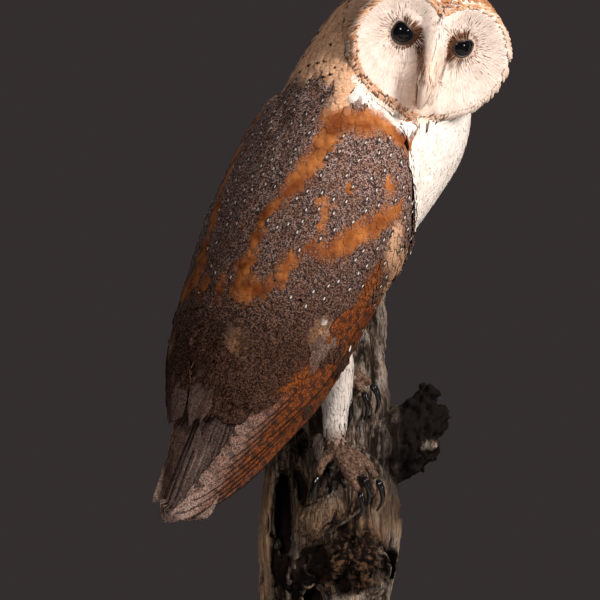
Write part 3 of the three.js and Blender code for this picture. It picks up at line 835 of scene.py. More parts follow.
contour_coat("leg_feathers", legs, 1.4, leg_length, 1.9, 2.6, downwards, 0.08, colour=leg_paint, soft=3)
toes = is_part(tri_part, "foot_right", "foot_left") & (skin_normals[tri_verts[:, 0], 2] > -0.2)
contour_coat(
    "toe_bristles", toes, 4.2, 3.0, 0.3, 0.7, downwards, 0.5, colour=leg_paint, soft=2, slope=0.9,
    template=BRISTLE, stations=BRISTLE_STATIONS, outline=BRISTLE_WIDTH,
)

# %% [markdown]
# The quills are the long stiff feathers of the wings and tail. When a wing is folded its ten primaries lie like a
# closed fan along the outer edge, each inner one over its neighbour, and the broad secondaries cover their upper half.
# Their centre lines are named by angle and height, and brought onto the solid of the wing by rays.

# %% Bring lines onto the solids
def tree_of(name):
    """A search tree over one solid of the frame."""
    whole, owners = bmesh_of([name])
    found = BVHTree.FromBMesh(whole)
    whole.free()
    return found


def wrap_lines(tree, angles, heights, sink):
    """Points on a solid seen from outside at angles (degrees) and heights (mm), sunk below it (mm)."""
    turn = np.radians(angles)
    out = np.stack([np.sin(turn), -np.cos(turn), np.zeros_like(turn)], -1)
    start = from_body(np.concatenate([out[..., :2] * 90 * MM, heights[..., None] * MM], -1))
    ways = out @ BODY
    spots, normals = np.empty_like(start), np.empty_like(start)
    for place in np.ndindex(angles.shape):
        hit = tree.ray_cast(start[place], -ways[place])
        if hit[0] is None:
            hit = tree.find_nearest(start[place] - ways[place] * 0.07)
        spots[place], normals[place] = hit[0], hit[1]
    facing = (normals * ways).sum(-1, keepdims=True)
    normals = np.where(facing < 0, -normals, normals)
    return soften_lines(spots - unit(normals) * sink[..., None] * MM, 4), unit(soften_lines(normals, 8))


def soften_lines(values, rounds):
    """Lines smoothed along their stations."""
    for _ in range(rounds):
        inner = (values[:, :-2] + 2 * values[:, 1:-1] + values[:, 2:]) / 4
        values = np.concatenate([values[:, :1], inner, values[:, -1:]], 1)
    return values


# %% [markdown]
# The edge of the folded wing is given as a few stations of height, angle, radius and thickness. The primaries start
# side by side along it and draw together towards the tip, as the sticks of a fan do. A quill's vane has more rings
# than a body feather, because it is long and bends with the wing.

# %% The fan of the folded wing
QUILL_RINGS = 20
QUILL = vane(8, QUILL_RINGS)
RUN = np.linspace(0, 1, QUILL_RINGS + 2)
# height, outer angle, radius there and thickness of the folded wing
WING_EDGE = np.array([
    (0, 131, 58, 18), (-24, 135, 51, 16), (-61, 133, 50, 14), (-92, 133, 48, 9), (-119, 130, 43, 5),
    (-134, 128.5, 39.5, 3.4), (-151, 126, 34, 2.8), (-171, 118, 26, 2.3), (-190, 96, 18, 1.9), (-204, 60, 14, 1.4),
])[::-1]


def edge_of_wing(along, column):
    """The edge of the folded wing at each height."""
    return np.interp(along, WING_EDGE[:, 0], WING_EDGE[:, column])


PRIMARY_TIPS = np.array([-192, -202, -204, -198, -189, -179, -169, -160, -152, -145])


def fan(tips, start, shift):
    """Heights and angles of the lines of one wing's primaries, outermost first."""
    number = np.arange(len(tips))[:, None]
    along = start[:, None] + (tips[:, None] - start[:, None]) * RUN
    room = np.clip((edge_of_wing(along, 1) - 12) / 110, 0.12, 1) ** 0.8
    offset = (shift + 3.3 * number) * room
    return edge_of_wing(along, 1) - np.degrees(offset * MM / (edge_of_wing(along, 2) * MM)), along


def quill_outline(tip_share):
    """Relative half width along a quill: narrow root, long even vane, rounded tip."""
    root = np.clip(RUN / 0.12, 0.2, 1) ** 0.6
    tip = np.clip((RUN - 1 + tip_share) / tip_share, 0, 1)
    return root * np.sqrt(np.clip(1 - tip**2, 0.003, 1))


def flight(name, tree, angles, heights, sink, width, tip_share, paint, thick=0.3):
    """Stiff feathers of one row, along lines of angles and heights on a solid."""
    spots, normals = wrap_lines(tree, angles, heights, sink)
    count = len(spots)
    widths = width[:, None] * MM / 2 * quill_outline(tip_share)
    colour = np.broadcast_to(paint, (count, len(RUN), 5)).copy()
    place = np.stack([0.03 + 0.92 * (np.arange(count) + 0.5) / count, np.full(count, 0.5)], 1)
    made = build_vanes(name, QUILL, spots, normals, widths, thick * MM, 0.05, colour, rng.random(count), place, 0)
    widen_patches(made, count)
    return made


def widen_patches(made, count):
    """Give every quill its own strip of the map instead of the small patch of a body feather."""
    station, across, _, faces = QUILL
    strip = np.stack([across * 0.42 / count, 0.94 * (station / station.max() - 0.5)], 1)
    order = np.concatenate(faces)
    place = 0.03 + 0.94 * (np.arange(count) + 0.5) / count
    uv = strip[order][None] + np.stack([place, np.full(count, 0.5)], 1)[:, None]
    put_uv(made.data, "OFBake", uv.reshape(-1, 2))


print("stations of a quill:", len(RUN), "faces:", len(QUILL[3]))

# %% [markdown]
# Ten primaries and thirteen secondaries make the folded wing. Each row could be one sheet, but single feathers show
# their edges where they overlap, which is what the eye looks for. The inner feathers lie over the outer ones.

# %% Primaries and secondaries
ORANGE_VANE, GREY_VANE, PALE_VANE = np.eye(5)[DEEP], np.eye(5)[GREY], np.eye(5)[PALE]


def vane_paint(angles, heights, paleness):
    """Orange-brown along the outer edge, paler inwards and towards the tips."""
    inner = 0.7 * ramp(98 - angles, 0, 26) * ramp(-heights, 100, 125)
    share = np.clip(inner + 0.5 * ramp(-heights, 160, 196) + paleness, 0, 1)[..., None]
    return ORANGE_VANE * (1 - share) + PALE_VANE * share


# the left wing ends a little shorter, tucked above the tail, and shows its paler inner vanes
FAR_TIPS, FAR_PALENESS = 17, 0.7
SECONDARY_TIPS = np.array([-128, -134, -138, -140, -141, -140, -137, -133, -129, -125, -121, -119, -118])
quills = {}
for side, mirror in (("right", 1), ("left", -1)):
    wing_tree = tree_of(f"wing_{side}")
    angles, heights = fan(PRIMARY_TIPS + (0 if mirror > 0 else FAR_TIPS), np.linspace(-22, -50, 10), 2.5)
    free = ramp(-heights, 106, 124)
    sink = (0.1 + 0.26 * free) * np.arange(10)[::-1, None] + 1.6 * free - 0.6
    sink *= np.where(sink > 0, np.clip(edge_of_wing(heights, 3) / 5, 0.1, 1), 1)
    quills[f"primaries_{side}"] = flight(
        f"primaries_{side}", wing_tree, mirror * angles, heights, sink, np.full(10, 11.0), 0.16,
        vane_paint(angles, heights, 0 if mirror > 0 else FAR_PALENESS),
    )
    order = np.arange(13)
    lean = (84 - 6.6 * order)[:, None] + (RUN - 1) * 6
    heights = -84 + (SECONDARY_TIPS[:, None] + 84) * RUN
    sink = 0.9 - 1.3 * RUN + 0.12 * order[::-1, None]
    flight(f"secondaries_{side}", wing_tree, mirror * lean, heights, sink, np.full(13, 15.0), 0.14, GREY_VANE, 0.2)

# %% [markdown]
# The tail of an owl is short and has twelve feathers. The middle pair lies on top, and each next one a little deeper.
# The lines are brought onto the tail's solid from behind.

# %% Tail feathers
tail_tree = tree_of("tail")
number = np.arange(12)
spread = (number - 5.5) / 5.5
across = (spread[:, None] * (9 + 6 * RUN) + np.minimum(spread, 0)[:, None] * 4 * RUN) * MM
heights = (-100 + (-97 + 4 * spread**2)[:, None] * RUN) * MM
spots, normals = np.empty((12, len(RUN), 3)), np.empty((12, len(RUN), 3))
for place in np.ndindex(across.shape):
    start = from_body([across[place], -0.15, heights[place]])
    hit = tail_tree.ray_cast(start, BODY[1])
    if hit[0] is None:
        hit = tail_tree.find_nearest(from_body([across[place], 0, heights[place]]))
    spots[place], normals[place] = hit[0], hit[1]
spots -= unit(normals) * (0.2 + 0.3 * np.abs(number - 5.5))[:, None, None] * MM
widths = np.full((12, 1), 8.5 * MM) * quill_outline(0.1)
pale = np.tile(PALE_VANE, (12, len(RUN), 1))
rows = np.stack([0.03 + 0.92 * (number + 0.5) / 12, np.full(12, 0.5)], 1)
quills["tail_feathers"] = build_vanes(
    "tail_feathers", QUILL, soften_lines(spots, 4), unit(soften_lines(normals, 8)), widths,
    0.18 * MM, 0.04, pale, rng.random(12), rows, 0,
)
widen_patches(quills["tail_feathers"], 12)

# %% [markdown]
# Between the soft back and the stiff tail lie the tail coverts, which hide the step. They are strewn over the root of
# the tail, grey like the back where they start and pale where they end.

# %% Soft feathers over the root of the tail
COVERTS = 420
turns, starts = rng.uniform(-42, 42, COVERTS), rng.uniform(-121, -94, COVERTS)
heights = starts[:, None] - 23 * VANE_STATIONS * (0.8 + 0.4 * rng.random((COVERTS, 1)))
angles = turns[:, None] + rng.normal(0, 5, (COVERTS, 1)) * VANE_STATIONS
spots, normals = wrap_lines(flow_tree, angles, heights, -0.6 - 1.2 * VANE_STATIONS * rng.random((COVERTS, 1)))
fade = 0.95 * (ramp(-heights, 116, 130) * ramp(40 - np.abs(angles), 0, 20))[..., None]
paint = GREY_VANE + PALE_VANE * fade
build_vanes(
    "tail_coverts", CONTOUR, spots, normals, 3.0 * MM * np.ones((COVERTS, 1)) * VANE_WIDTH, 0.12 * MM, 0.05,
    paint, rng.random(COVERTS), unwrap(spots[:, 0], np.full(COVERTS, PART["trunk"])), 4,
)

# %% [markdown]
# The facial disc is made of short stiff bristles that point away from the eyes, and part along the ridge above the
# bill. They are shortest at the lids. Rust-coloured marks run from the inner corners of the eyes down beside the ridge.

# %% The lie of the face
EYES = np.array([[-EYE_OUT, 0.0], [EYE_OUT, 0.0]])


def face_ways(points):
    """The lie of the face: away from the eyes and from the bill."""
    head = in_head(points) / MM
    flat = head[:, [0, 2]]
    eye = EYES[(flat[:, 0] > 0).astype(int)]
    away = unit(flat - eye)
    ridge = (1 - ramp(np.abs(flat[:, 0]), 2.5, 8))[:, None]
    down = np.stack([0.25 * np.sign(flat[:, 0]), np.where(flat[:, 1] > 9, 1.0, -1.0)], 1)
    way = unit(away * (1 - ridge) + unit(down) * ridge)
    return np.stack([way[:, 0], np.zeros(len(way)), way[:, 1]], 1) @ HEAD.T


def from_eye(points):
    """Distance from the nearer eye (mm)."""
    flat = (in_head(points) / MM)[:, [0, 2]]
    return np.linalg.norm(flat - EYES[(flat[:, 0] > 0).astype(int)], axis=1)


def near_line(flat, start, end):
    """Distance from a line on the flat of the face (mm)."""
    start, run = np.array(start), np.array(end) - np.array(start)
    t = np.clip(((flat - start) @ run) / (run @ run), 0, 1)
    return np.linalg.norm(flat - start - t[:, None] * run, axis=1)


# %% [markdown]
# The rust marks are strokes again, on the flat of the face. Each has a start, an end, a width and a strength. A ring
# round each eye is warm as well, most at its inner and lower side.

# %% Marks of the face
# start, end, width (mm from the middle of the face) and strength
FACE_MARKS = [
    ((-9.2, 2), (-6.5, -6), 3.9, 0.85),
    ((-6.5, -6), (-4.0, -17), 3.2, 0.9),
    ((-4.0, -17), (-1.5, -24), 2.0, 0.6),
    ((-1.5, -24), (4.5, -38), 1.4, 0.35),
    ((12.6, -1.5), (11.2, -9), 2.6, 0.9),
    ((11.2, -9), (10.8, -21), 1.6, 0.7),
    ((13.5, -7.5), (15, -12), 2.2, 0.55),
    ((18, -7.5), (19.5, -12), 1.8, 0.45),
    ((12, 2.5), (14.3, 6.5), 1.5, 0.7),
    ((14.3, 6.5), (18.5, 8.6), 1.4, 0.6),
    ((18.5, 8.6), (24.5, 5.5), 1.4, 0.5),
    ((-24.5, 4), (-27, 0), 1.6, 0.3),
]


def face_paint(spots, parts):
    """Creamy white, with rust marks at the inner corners of the eyes."""
    count, stations = spots.shape[:2]
    flat = (in_head(spots.reshape(-1, 3)) / MM)[:, [0, 2]]
    rust = np.zeros(len(flat))
    for start, end, wide, depth in FACE_MARKS:
        rust = np.maximum(rust, depth * (1 - ramp(near_line(flat, start, end), wide * 0.3, wide)))
    weight = np.zeros((len(flat), 5))
    weight[:, DEEP] = rust
    eye = EYES[(flat[:, 0] > 0).astype(int)]
    gap, inner = np.linalg.norm(flat - eye, axis=1), -np.sign(flat[:, 0]) * (flat[:, 0] - eye[:, 0])
    lower = ramp(0.8 * inner - 0.6 * (flat[:, 1] - eye[:, 1]), -6, 6)
    ring = (0.3 + 0.7 * lower) * (1 - ramp(gap, 6.0, 10.5))
    weight[:, DEEP] = np.maximum(rust, 0.5 * ring)
    beside = 1 - ramp(np.minimum(np.abs(flat[:, 0]), 20), 2, 14)
    warm = 0.24 + 0.3 * beside * ramp(-flat[:, 1], -2, 12) + 0.6 * ring
    weight[:, BUFF] = np.maximum(warm, 0.5 * ramp(rust, 0, 0.6) * (1 - rust))
    return weight.reshape(count, stations, 5)


def face_burn(spots):
    """Extra dark cores of the rust marks."""
    flat = (in_head(spots.reshape(-1, 3)) / MM)[:, [0, 2]]
    core = np.maximum.reduce([
        1 - ramp(near_line(flat, (-9.6, 3.5), (-7.4, -5)), 0.8, 3.4),
        0.85 * (1 - ramp(near_line(flat, (-7.0, -5), (-4.6, -15)), 0.3, 2.2)),
        0.8 * (1 - ramp(near_line(flat, (12.4, -1), (11.2, -9)), 0.3, 1.8)),
    ])
    burnt = (core > 0.05) * (1.25 + 0.5 * core)
    return burnt.reshape(spots.shape[:2])


# %% Bristles of the facial disc
skin_and_bill = bmesh.new()
skin_and_bill.from_mesh(skin_mesh)
skin_and_bill.from_mesh(nodes["bill"].data)
front_tree = BVHTree.FromBMesh(skin_and_bill)
skin_and_bill.free()
face = on_head & in_disc(tri_head, 0, -14)
face &= np.hypot(np.abs(tri_head[:, 0]) - EYE_OUT, tri_head[:, 2]) > 6.2
bristle_length = lambda p: 3.2 + 5.5 * ramp(from_eye(p), 7, 24)
bristle_width = lambda p: 0.8 + 0.5 * ramp(from_eye(p), 8, 20)
contour_coat(
    "face_bristles", face, 0.8, bristle_length, bristle_width, 0.8, face_ways, 0.04, face_paint, front_tree,
    template=BRISTLE, thick=0.07, vary=0.04, soft=6, slope=0.4, darken=face_burn,
    stations=BRISTLE_STATIONS, outline=BRISTLE_WIDTH,
)

# %% [markdown]
# The look of an owl depends on the shape of its eye openings more than on anything else. Each is nearly round, cut off
# by the upper lid and drawn out at the outer corner, so it is described as a distance for each direction, not as a
# circle. Lids, bristles and lashes are all set out from this one outline.

# %% Openings of the eyes
# outer side: radius, aim of the eye, and the directions (degrees) of upper lid, outer corner and inner side
OPENING = {-1: (6.2, (-0.11, -0.96, -0.13), 61, 127, -15), 1: (5.4, (0.15, -0.96, 0.0), 111, 35, 195)}
LID_DOME = 8.9  # radius on which the lids lie over the eyeball (mm)


def lobe(turn, middle, width):
    """1 in one direction, falling off over a width (degrees)."""
    away = (np.degrees(turn) - middle + 180) % 360 - 180
    return np.exp(-((away / width) ** 2))


def eye_plane(out):
    """Middle of an eyeball (mm, head's frame), the way it looks, and its level and upward directions."""
    aim = unit(np.array(OPENING[out][1]))
    level = unit(np.cross([0, 0, 1], aim))
    return np.array([out * EYE_OUT, EYE_FRONT, 0.0]), aim, level, np.cross(aim, level)


def opening_reach(out, turn):
    """Distance of the lid's edge from the middle of the opening: cut by the upper lid, drawn out at the corner."""
    size, _, lid, outer, _ = OPENING[out]
    return size * (1 - 0.27 * lobe(turn, lid, 38) + 0.15 * lobe(turn, outer, 24))


def around_eye(out, turn, radius, over):
    """Points at distances round the opening (mm): on the eyeball's dome, easing out onto the face."""
    centre, aim, level, above = eye_plane(out)
    spread_out = np.cos(turn)[:, None] * level + np.sin(turn)[:, None] * above
    dome = np.sqrt(np.clip(LID_DOME**2 - radius**2, 0, None))
    depth = np.maximum(dome, 4.9 + 1.7 * (1 - ramp(radius, 5.5, 13))) + over
    spots = centre + aim * depth[..., None] + spread_out[:, None] * radius[..., None]
    normals = np.broadcast_to(unit(aim + 0.1 * spread_out)[:, None], spots.shape)
    return from_head(spots * MM), normals @ HEAD.T


# %% [markdown]
# Short bristles stand in rings round each opening and hide where the lid meets the face. They are darkest at the rim,
# partly as the dark feathers there and partly as painted shade at the lid's edge.
# Fewer and longer dark lashes lie over them, mostly at the inner side.

# %% Rings of short bristles round the lids
stations = BRISTLE_STATIONS


def lid_bristles(out, tag):
    """Rings of bristles round one opening."""
    steps, turn = [], []
    for row in range(12):
        many = 80 + 13 * row
        turn.append(np.arange(many) * 2 * math.pi / many + row)
        steps.append(np.full(many, 0.55 * row) + rng.normal(0, 0.15, many))
    steps, turn = np.concatenate(steps), np.concatenate(turn)
    start = opening_reach(out, turn) + 0.2 + np.abs(steps)
    radius = start[:, None] + (2.6 + 0.8 * rng.random((len(turn), 1))) * stations
    spots, normals = around_eye(out, turn, radius, 0.25 + 0.35 * stations)
    parts = np.full(len(turn), PART["head"])
    gap = radius - opening_reach(out, turn)[:, None]
    inner_side = np.maximum(lobe(turn, OPENING[out][4], 70), 0.2 * lobe(turn, OPENING[out][2], 45))
    lower = 0.25 + 0.75 * inner_side[:, None]
    # darkest right at the rim: partly the dark feathers there, partly painted shade at the lid's edge
    tone = np.maximum(rng.random((len(turn), 1)), 1.0 + 0.8 * (1 - ramp(gap, 0.1, 1.3)))
    tone = np.maximum(tone, 1.0 + 0.7 * lower * (1 - ramp(gap, 0.3, 4.2)) * (lower > 0.3))
    tone = np.maximum(tone, face_burn(spots))
    paint = face_paint(spots, parts)
    paint[..., BUFF] = np.maximum(paint[..., BUFF], 0.9 * lower * (1 - ramp(gap, 1.0, 5.5)))
    paint[..., DEEP] = np.maximum(paint[..., DEEP], lower * (1 - ramp(gap, 0.4, 3.2)))
    widths = 0.42 * MM * np.ones((len(turn), 1)) * BRISTLE_WIDTH
    root_uv = unwrap(spots[:, 0], parts)
    build_vanes(f"lid_bristles_{tag}", BRISTLE, spots, normals, widths, 0.08 * MM, 0, paint, tone, root_uv, 4)


# %% Dark lashes
def lashes(out, tag):
    """Longer dark bristles over one opening."""
    turn = np.radians(rng.uniform(-180, 180, 1100))
    wanted = 0.12 + 0.88 * lobe(turn, OPENING[out][4], 62) + 0.35 * lobe(turn, OPENING[out][2] + 15, 40)
    turn = turn[rng.random(len(turn)) < 0.3 * wanted]
    start = opening_reach(out, turn) + 0.1 + 1.6 * rng.random(len(turn))
    radius = start[:, None] + (2.5 + 4.5 * rng.random((len(turn), 1))) * stations
    spots, normals = around_eye(out, turn, radius, 0.55 + 0.5 * stations)
    paint = np.tile(np.eye(5)[DEEP], (len(turn), len(stations), 1))
    tone = np.tile([1.75, 1.6, 1.3, 0.6], (len(turn), 1))
    widths = 0.17 * MM * np.ones((len(turn), 1)) * BRISTLE_WIDTH
    parts = np.full(len(turn), PART["head"])
    root_uv = unwrap(spots[:, 0], parts)
    build_vanes(f"lashes_{tag}", BRISTLE, spots, normals, widths, 0.06 * MM, 0, paint, tone, root_uv, 2)


for out, tag in ((-1, "right"), (1, "left")):
    lid_bristles(out, tag)
    lashes(out, tag)

# %% [markdown]
# Long bristles grow over the root of the bill and leave only its tip bare. They make the soft ridge down the middle of
# the face. They start on the skin and follow the bill, so both surfaces are in the tree that they are laid on.

# %% Bristles over the bill
base = on_head & (np.hypot(tri_head[:, 0], tri_head[:, 2] + 16) < 11)
base &= (tri_head[:, 1] < -14) & (tri_head[:, 2] < -5)
bill_way = unit(np.array([0, -0.3, -1.0])) @ HEAD.T
bill_root = from_head(np.array([0, -20, -8]) * MM)
contour_coat(
    "bill_bristles", base, 0.8, lambda p: 17 - 0.35 * np.abs(in_head(p)[:, 2] / MM + 14), 1.2, 1.1,
    lambda p: bill_way + 0.25 * unit(p - bill_root), 0.05, face_paint, front_tree,
    template=BRISTLE, thick=0.12, vary=0.15, soft=5, slope=0.4, stations=BRISTLE_STATIONS, outline=BRISTLE_WIDTH,
)

# %% [markdown]
# A ruff of short, densely packed feathers frames the disc like a cord. It is golden and flecked with dark brown below,
# and orange where it meets the crown. Rows of small vanes are set along the heart-shaped rim and run down beside it.

# %% Points on the rim of the disc
def rim_point(turn, inwards):
    """Points of the skin on the rim of the disc, for turns in degrees from the crown to the bird's left."""
    reach = np.interp(np.abs(turn), HEART[:, 0], HEART[:, 1]) - inwards
    x, z = reach * np.sin(np.radians(turn)), -6 + reach * np.cos(np.radians(turn))
    spots = np.empty((len(turn), 3))
    for n, start in enumerate(from_head(np.stack([x, np.full(len(x), -80.0), z], 1) * MM).tolist()):
        hit = skin_tree.ray_cast(start, HEAD[:, 1])
        spots[n] = skin_tree.find_nearest(start)[0] if hit[0] is None else hit[0]
    return spots


# %% Set out the rows of the ruff
turns, depths, rows = [], [], []
for row, inwards in enumerate((4.6, 3.4, 2.2, 1.0, -0.2, -1.4)):
    line = np.linspace(-180, 180, 260 - 8 * row, endpoint=False) + 0.9 * row
    turns.append(line + rng.normal(0, 0.35, len(line)))
    depths.append(np.full(len(line), inwards) + rng.normal(0, 0.25, len(line)))
    rows.append(np.full(len(line), row))
turns, depths, rows = map(np.concatenate, (turns, depths, rows))
turns = (turns + 180) % 360 - 180
cord = ramp(-turns, 75, 110)
kept = depths < np.where(turns < 0, 1.6 + 3.2 * cord, 1.0 + 0.8 * ramp(turns, 120, 150))
turns, depths, rows, cord = turns[kept], depths[kept], rows[kept], cord[kept]
roots = rim_point(turns, depths)
swing = np.radians(turns)
radial = np.stack([np.sin(swing), np.full(len(turns), 0.1), np.cos(swing)], 1)
aside = np.stack([np.cos(swing), 0 * turns, -np.sin(swing)], 1) * np.sign(turns)[:, None]
outwards = unit(0.55 * radial + aside) @ HEAD.T
lengths = (4.4 + rng.random(len(turns))) * MM
stations = VANE_STATIONS
spots, normals = np.empty((len(turns), 5, 3)), np.empty((len(turns), 5, 3))
forward = -HEAD[:, 1]
for j, share in enumerate(stations):
    spots[:, j] = roots + unit(outwards) * (lengths * share)[:, None] + forward * (1.4 - 1.8 * share**2) * MM
    normals[:, j] = unit(forward + 0.9 * share * outwards)
print("feathers of the ruff:", len(turns))

# %% Colour and build the ruff
right_side = turns < 0
# how golden the ruff is: speckled at the crown and down the bird's right, a cord below it, a thin chain on the left
chain = ramp(turns, 140, 152)
fading = 1 - 0.6 * ramp(turns, 30, 75) - 0.25 * ramp(turns, 90, 125)
gold = np.where(right_side, 1.0, np.maximum(fading, 0.75 * chain))
strong = np.where(right_side, cord, chain * (rows >= 3))
luck, other = rng.random((2, len(turns)))
colour = np.zeros((len(turns), 5, 5))
colour[:, :, ORANGE] = (gold * np.where(luck < 0.45, 0.75, 0.25) * (0.5 + 0.5 * other))[:, None]
near_crown = 1 - ramp(np.abs(turns), 50, 80)
colour[:, :, BUFF] = (0.2 + gold * (0.4 + 0.4 * other) * (1 + 0.3 * near_crown))[:, None]
tone = np.tile(rng.random(len(turns))[:, None], (1, 5))
dark = rng.random(len(turns)) < np.where(rows >= 3, 0.45, 0.12) * strong + 0.08 * gold
tone[dark, :3] = 1.65
on_neck = unwrap(roots, np.full(len(roots), PART["head"]))
widths = ((0.75 + 0.2 * cord) * MM)[:, None] * VANE_WIDTH
build_vanes("ruff", CONTOUR, spots, normals, widths, 0.14 * MM, 0.15, colour, tone, on_neck, 2)

# %% [markdown]
# Small pearls run in rows over the grey panels: a white drop with a black one above and a black fleck below. They are
# laid as tiny vanes on top of the coverts, the white ones and the black ones each as a piece with its own finish.

# %% Pearls
def pearls(name, roots, ways, start, length, width, extra):
    """Tiny vanes that lie on the coat: start, length, width and height above it in millimetres."""
    lengths, parts = np.full(len(roots), length * MM), parts_of(roots)
    spots, surface = path_on(skin_tree, roots + ways * start * MM, ways, lengths, VANE_STATIONS)
    spots += surface * ((extra + 0.25) * np.ones(5) * MM)[None, :, None]
    spots += surface * coat_depth(roots, parts)[:, None, None]
    widths = np.full((len(roots), 1), width / 2 * MM) * np.array([0.15, 0.75, 1.0, 0.8, 0.1])
    blank = np.zeros((len(roots), 5, 5))
    tone = rng.random(len(roots))
    return build_vanes(name, CONTOUR, spots, surface, widths, 0.14 * MM, 0.05, blank, tone, unwrap(roots, parts))


tri_weights = markings(tri_middle, tri_part)
panel = (on_wings | on_torso) & ~breast & (tri_body[:, 2] > -75 * MM)
panel &= (tri_weights[:, GREY] > 0.75) & (tri_weights[:, 1:].max(1) < 0.3)
panel &= (tri_body[:, 2] > -48 * MM) | (np.abs(tri_angle) < 84)
roots, normals, _ = scatter(panel, 6.2 * MM)
fading = rng.random(len(roots)) > 0.08 + 0.75 * ramp(-height_of(roots), 10, 60)
roots, normals = roots[fading], normals[fading]
ways = combed(tailwards(roots), normals, 0.1)
white_pearls = pearls("pearls_white", roots, ways, 1.7, 2.0, 0.85, 0.45)
above_and_below = np.concatenate([roots, roots + ways * 3.2 * MM])
twice = lambda each: np.concatenate([each, each])
black_pearls = pearls("pearls_black", above_and_below, twice(ways), 0.1, 1.9, 1.35, 0.32)

# %% [markdown]
# Glass eyes are dark glossy balls set behind lids. Only an almond of each shows. The lids are soft rolls of skin along
# the openings, each a small ring carried round the outline. A plain piece like this needs no coat, so a short helper
# turns a bmesh into an object.

# %% From a bmesh to a piece
dressed = []


def plain_piece(name, whole, replaced=(), levels=0):
    """A bmesh as a piece that rides on the root, with the solids that it replaces hidden."""
    mesh = bpy.data.meshes.new(name)
    bmesh.ops.recalc_face_normals(whole, faces=whole.faces)
    whole.to_mesh(mesh)
    whole.free()
    mesh.polygons.foreach_set("use_smooth", np.ones(len(mesh.polygons), dtype=bool))
    made = new_object(name, mesh)
    if levels:
        rounder = made.modifiers.new("round", "SUBSURF")
        rounder.levels = rounder.render_levels = levels
    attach(made, "root")
    if replaced:
        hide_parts(*replaced)
    return made


def merged(names):
    """Solids of the frame as one bmesh."""
    whole, _ = bmesh_of(names)
    bmesh.ops.remove_doubles(whole, verts=whole.verts, dist=1e-6)
    return whole


# %% Eyes and lids
EYEBALL = 8.4
LID_STEPS, LID_RING = 64, 10
LID_WIDE, LID_THICK = 0.6, 0.5
for side, out in (("right", -1), ("left", 1)):
    ball = bmesh.new()
    centre = from_head(np.array([out * EYE_OUT, EYE_FRONT, 0]) * MM)
    aim = Vector(HEAD @ np.array([out * 0.25, -0.96, 0])).normalized()
    turn = aim.to_track_quat("Z", "Y").to_matrix().to_4x4()
    place = Matrix.Translation(centre) @ turn
    bmesh.ops.create_uvsphere(ball, u_segments=48, v_segments=32, radius=EYEBALL * MM, matrix=place)
    eye = plain_piece(f"glass_{side}", ball, (f"eye_{side}",))
    dressed.append((eye, "eye_glass"))
    lid, rings = bmesh.new(), []
    turns = np.arange(LID_STEPS) * 2 * math.pi / LID_STEPS
    slices = np.arange(LID_RING)[:, None] * 2 * math.pi / LID_RING
    middles, _ = around_eye(out, turns, opening_reach(out, turns)[:, None], -0.25)
    _, _, level, above = eye_plane(out)
    for t, middle in zip(turns, middles[:, 0]):
        away = HEAD @ (math.cos(t) * level + math.sin(t) * above)
        loop = middle + (np.cos(slices) * away * LID_WIDE + np.sin(slices) * np.array(aim) * LID_THICK) * MM
        rings.append([lid.verts.new(p) for p in loop])
    for i in range(LID_STEPS):
        for j in range(LID_RING):
            a, b = rings[i], rings[(i + 1) % LID_STEPS]
            lid.faces.new((a[j], b[j], b[(j + 1) % LID_RING], a[(j + 1) % LID_RING]))
    lids = plain_piece(f"lids_{side}", lid)
    dressed.append((lids, "lid_skin"))

print("faces of a lid:", LID_STEPS * LID_RING)

# %% [markdown]
# Claws and bill are horn over bone. Their solids already have the right curve, so they are copied and rounded by a
# subdivision. The root of each claw is drawn into its toe, where the real one grows out of the skin.

# %% Claws and bill
claws = [name for name in nodes if name.startswith("claw_")]
hooks = merged(claws)
for vert in hooks.verts:
    vert.co += vert.normal * 0.2 * MM
    near, _, _, gap = skin_tree.find_nearest(vert.co)
    if gap < 2.2 * MM:
        vert.co += (near - vert.co).normalized() * (2.4 * MM - 0.6 * gap)
claw_piece = plain_piece("claws", hooks, claws, 2)
dressed.append((claw_piece, "claw_horn"))
bill_piece = plain_piece("bill_horn_piece", merged(["bill"]), ("bill",), 2)
dressed.append((bill_piece, "bill_horn"))
print("claws:", len(claws))

# %% [markdown]
# The perch is a weathered stump: grey wood with a long grain, split and hollowed, with a charred side branch. Its
# solids are fused so that they can be displaced finely. Named features are carved into the front and coloured as well.

# %% Fuse the timber
def ridged(points, size, seed):
    """Sharp crests like the grain of weathered wood."""
    return np.array([1 - abs(noise.noise(Vector(p) + Vector((seed, 0, 0)))) * 2 for p in (points / size).tolist()])


def billow(points, size, seed):
    """Soft irregular lumps."""
    return np.array([noise.fractal(Vector(p) + Vector((seed, 3, 0)), 0.8, 2.1, 4) for p in (points / size).tolist()])


timber = bmesh_of(["stump", "stump_branch"])[0]
for spot_x, spot_z in ((1, 76), (23, 73)):
    place = Matrix.Translation(Vector((spot_x, -21, spot_z)) * MM) @ Matrix.Diagonal((13, 13, 12.5, 1))
    bmesh.ops.create_uvsphere(timber, u_segments=24, v_segments=16, radius=MM, matrix=place)
wood_mesh = fused("wood", timber, 1.2 * MM)
soften(wood_mesh, 4, lambda p: np.full(len(p), 0.5))
points = read(wood_mesh.vertices, "co", 3)
normals = read(wood_mesh.vertices, "normal", 3)
mm = points / MM
x, _, z = mm.T
front = ramp(-normals[:, 1], 0.05, 0.5)
stretched = mm * np.array([1, 1, 0.11])
grain = ridged(stretched, 5.0, 0) * 0.6 + ridged(stretched, 2.3, 7) * 0.4
lumps = billow(mm, 16, 5)
splits = ramp(ridged(mm * np.array([1, 1, 0.07]), 9.0, 21), 0.86, 0.97)
rough = billow(mm, 5.0, 11)
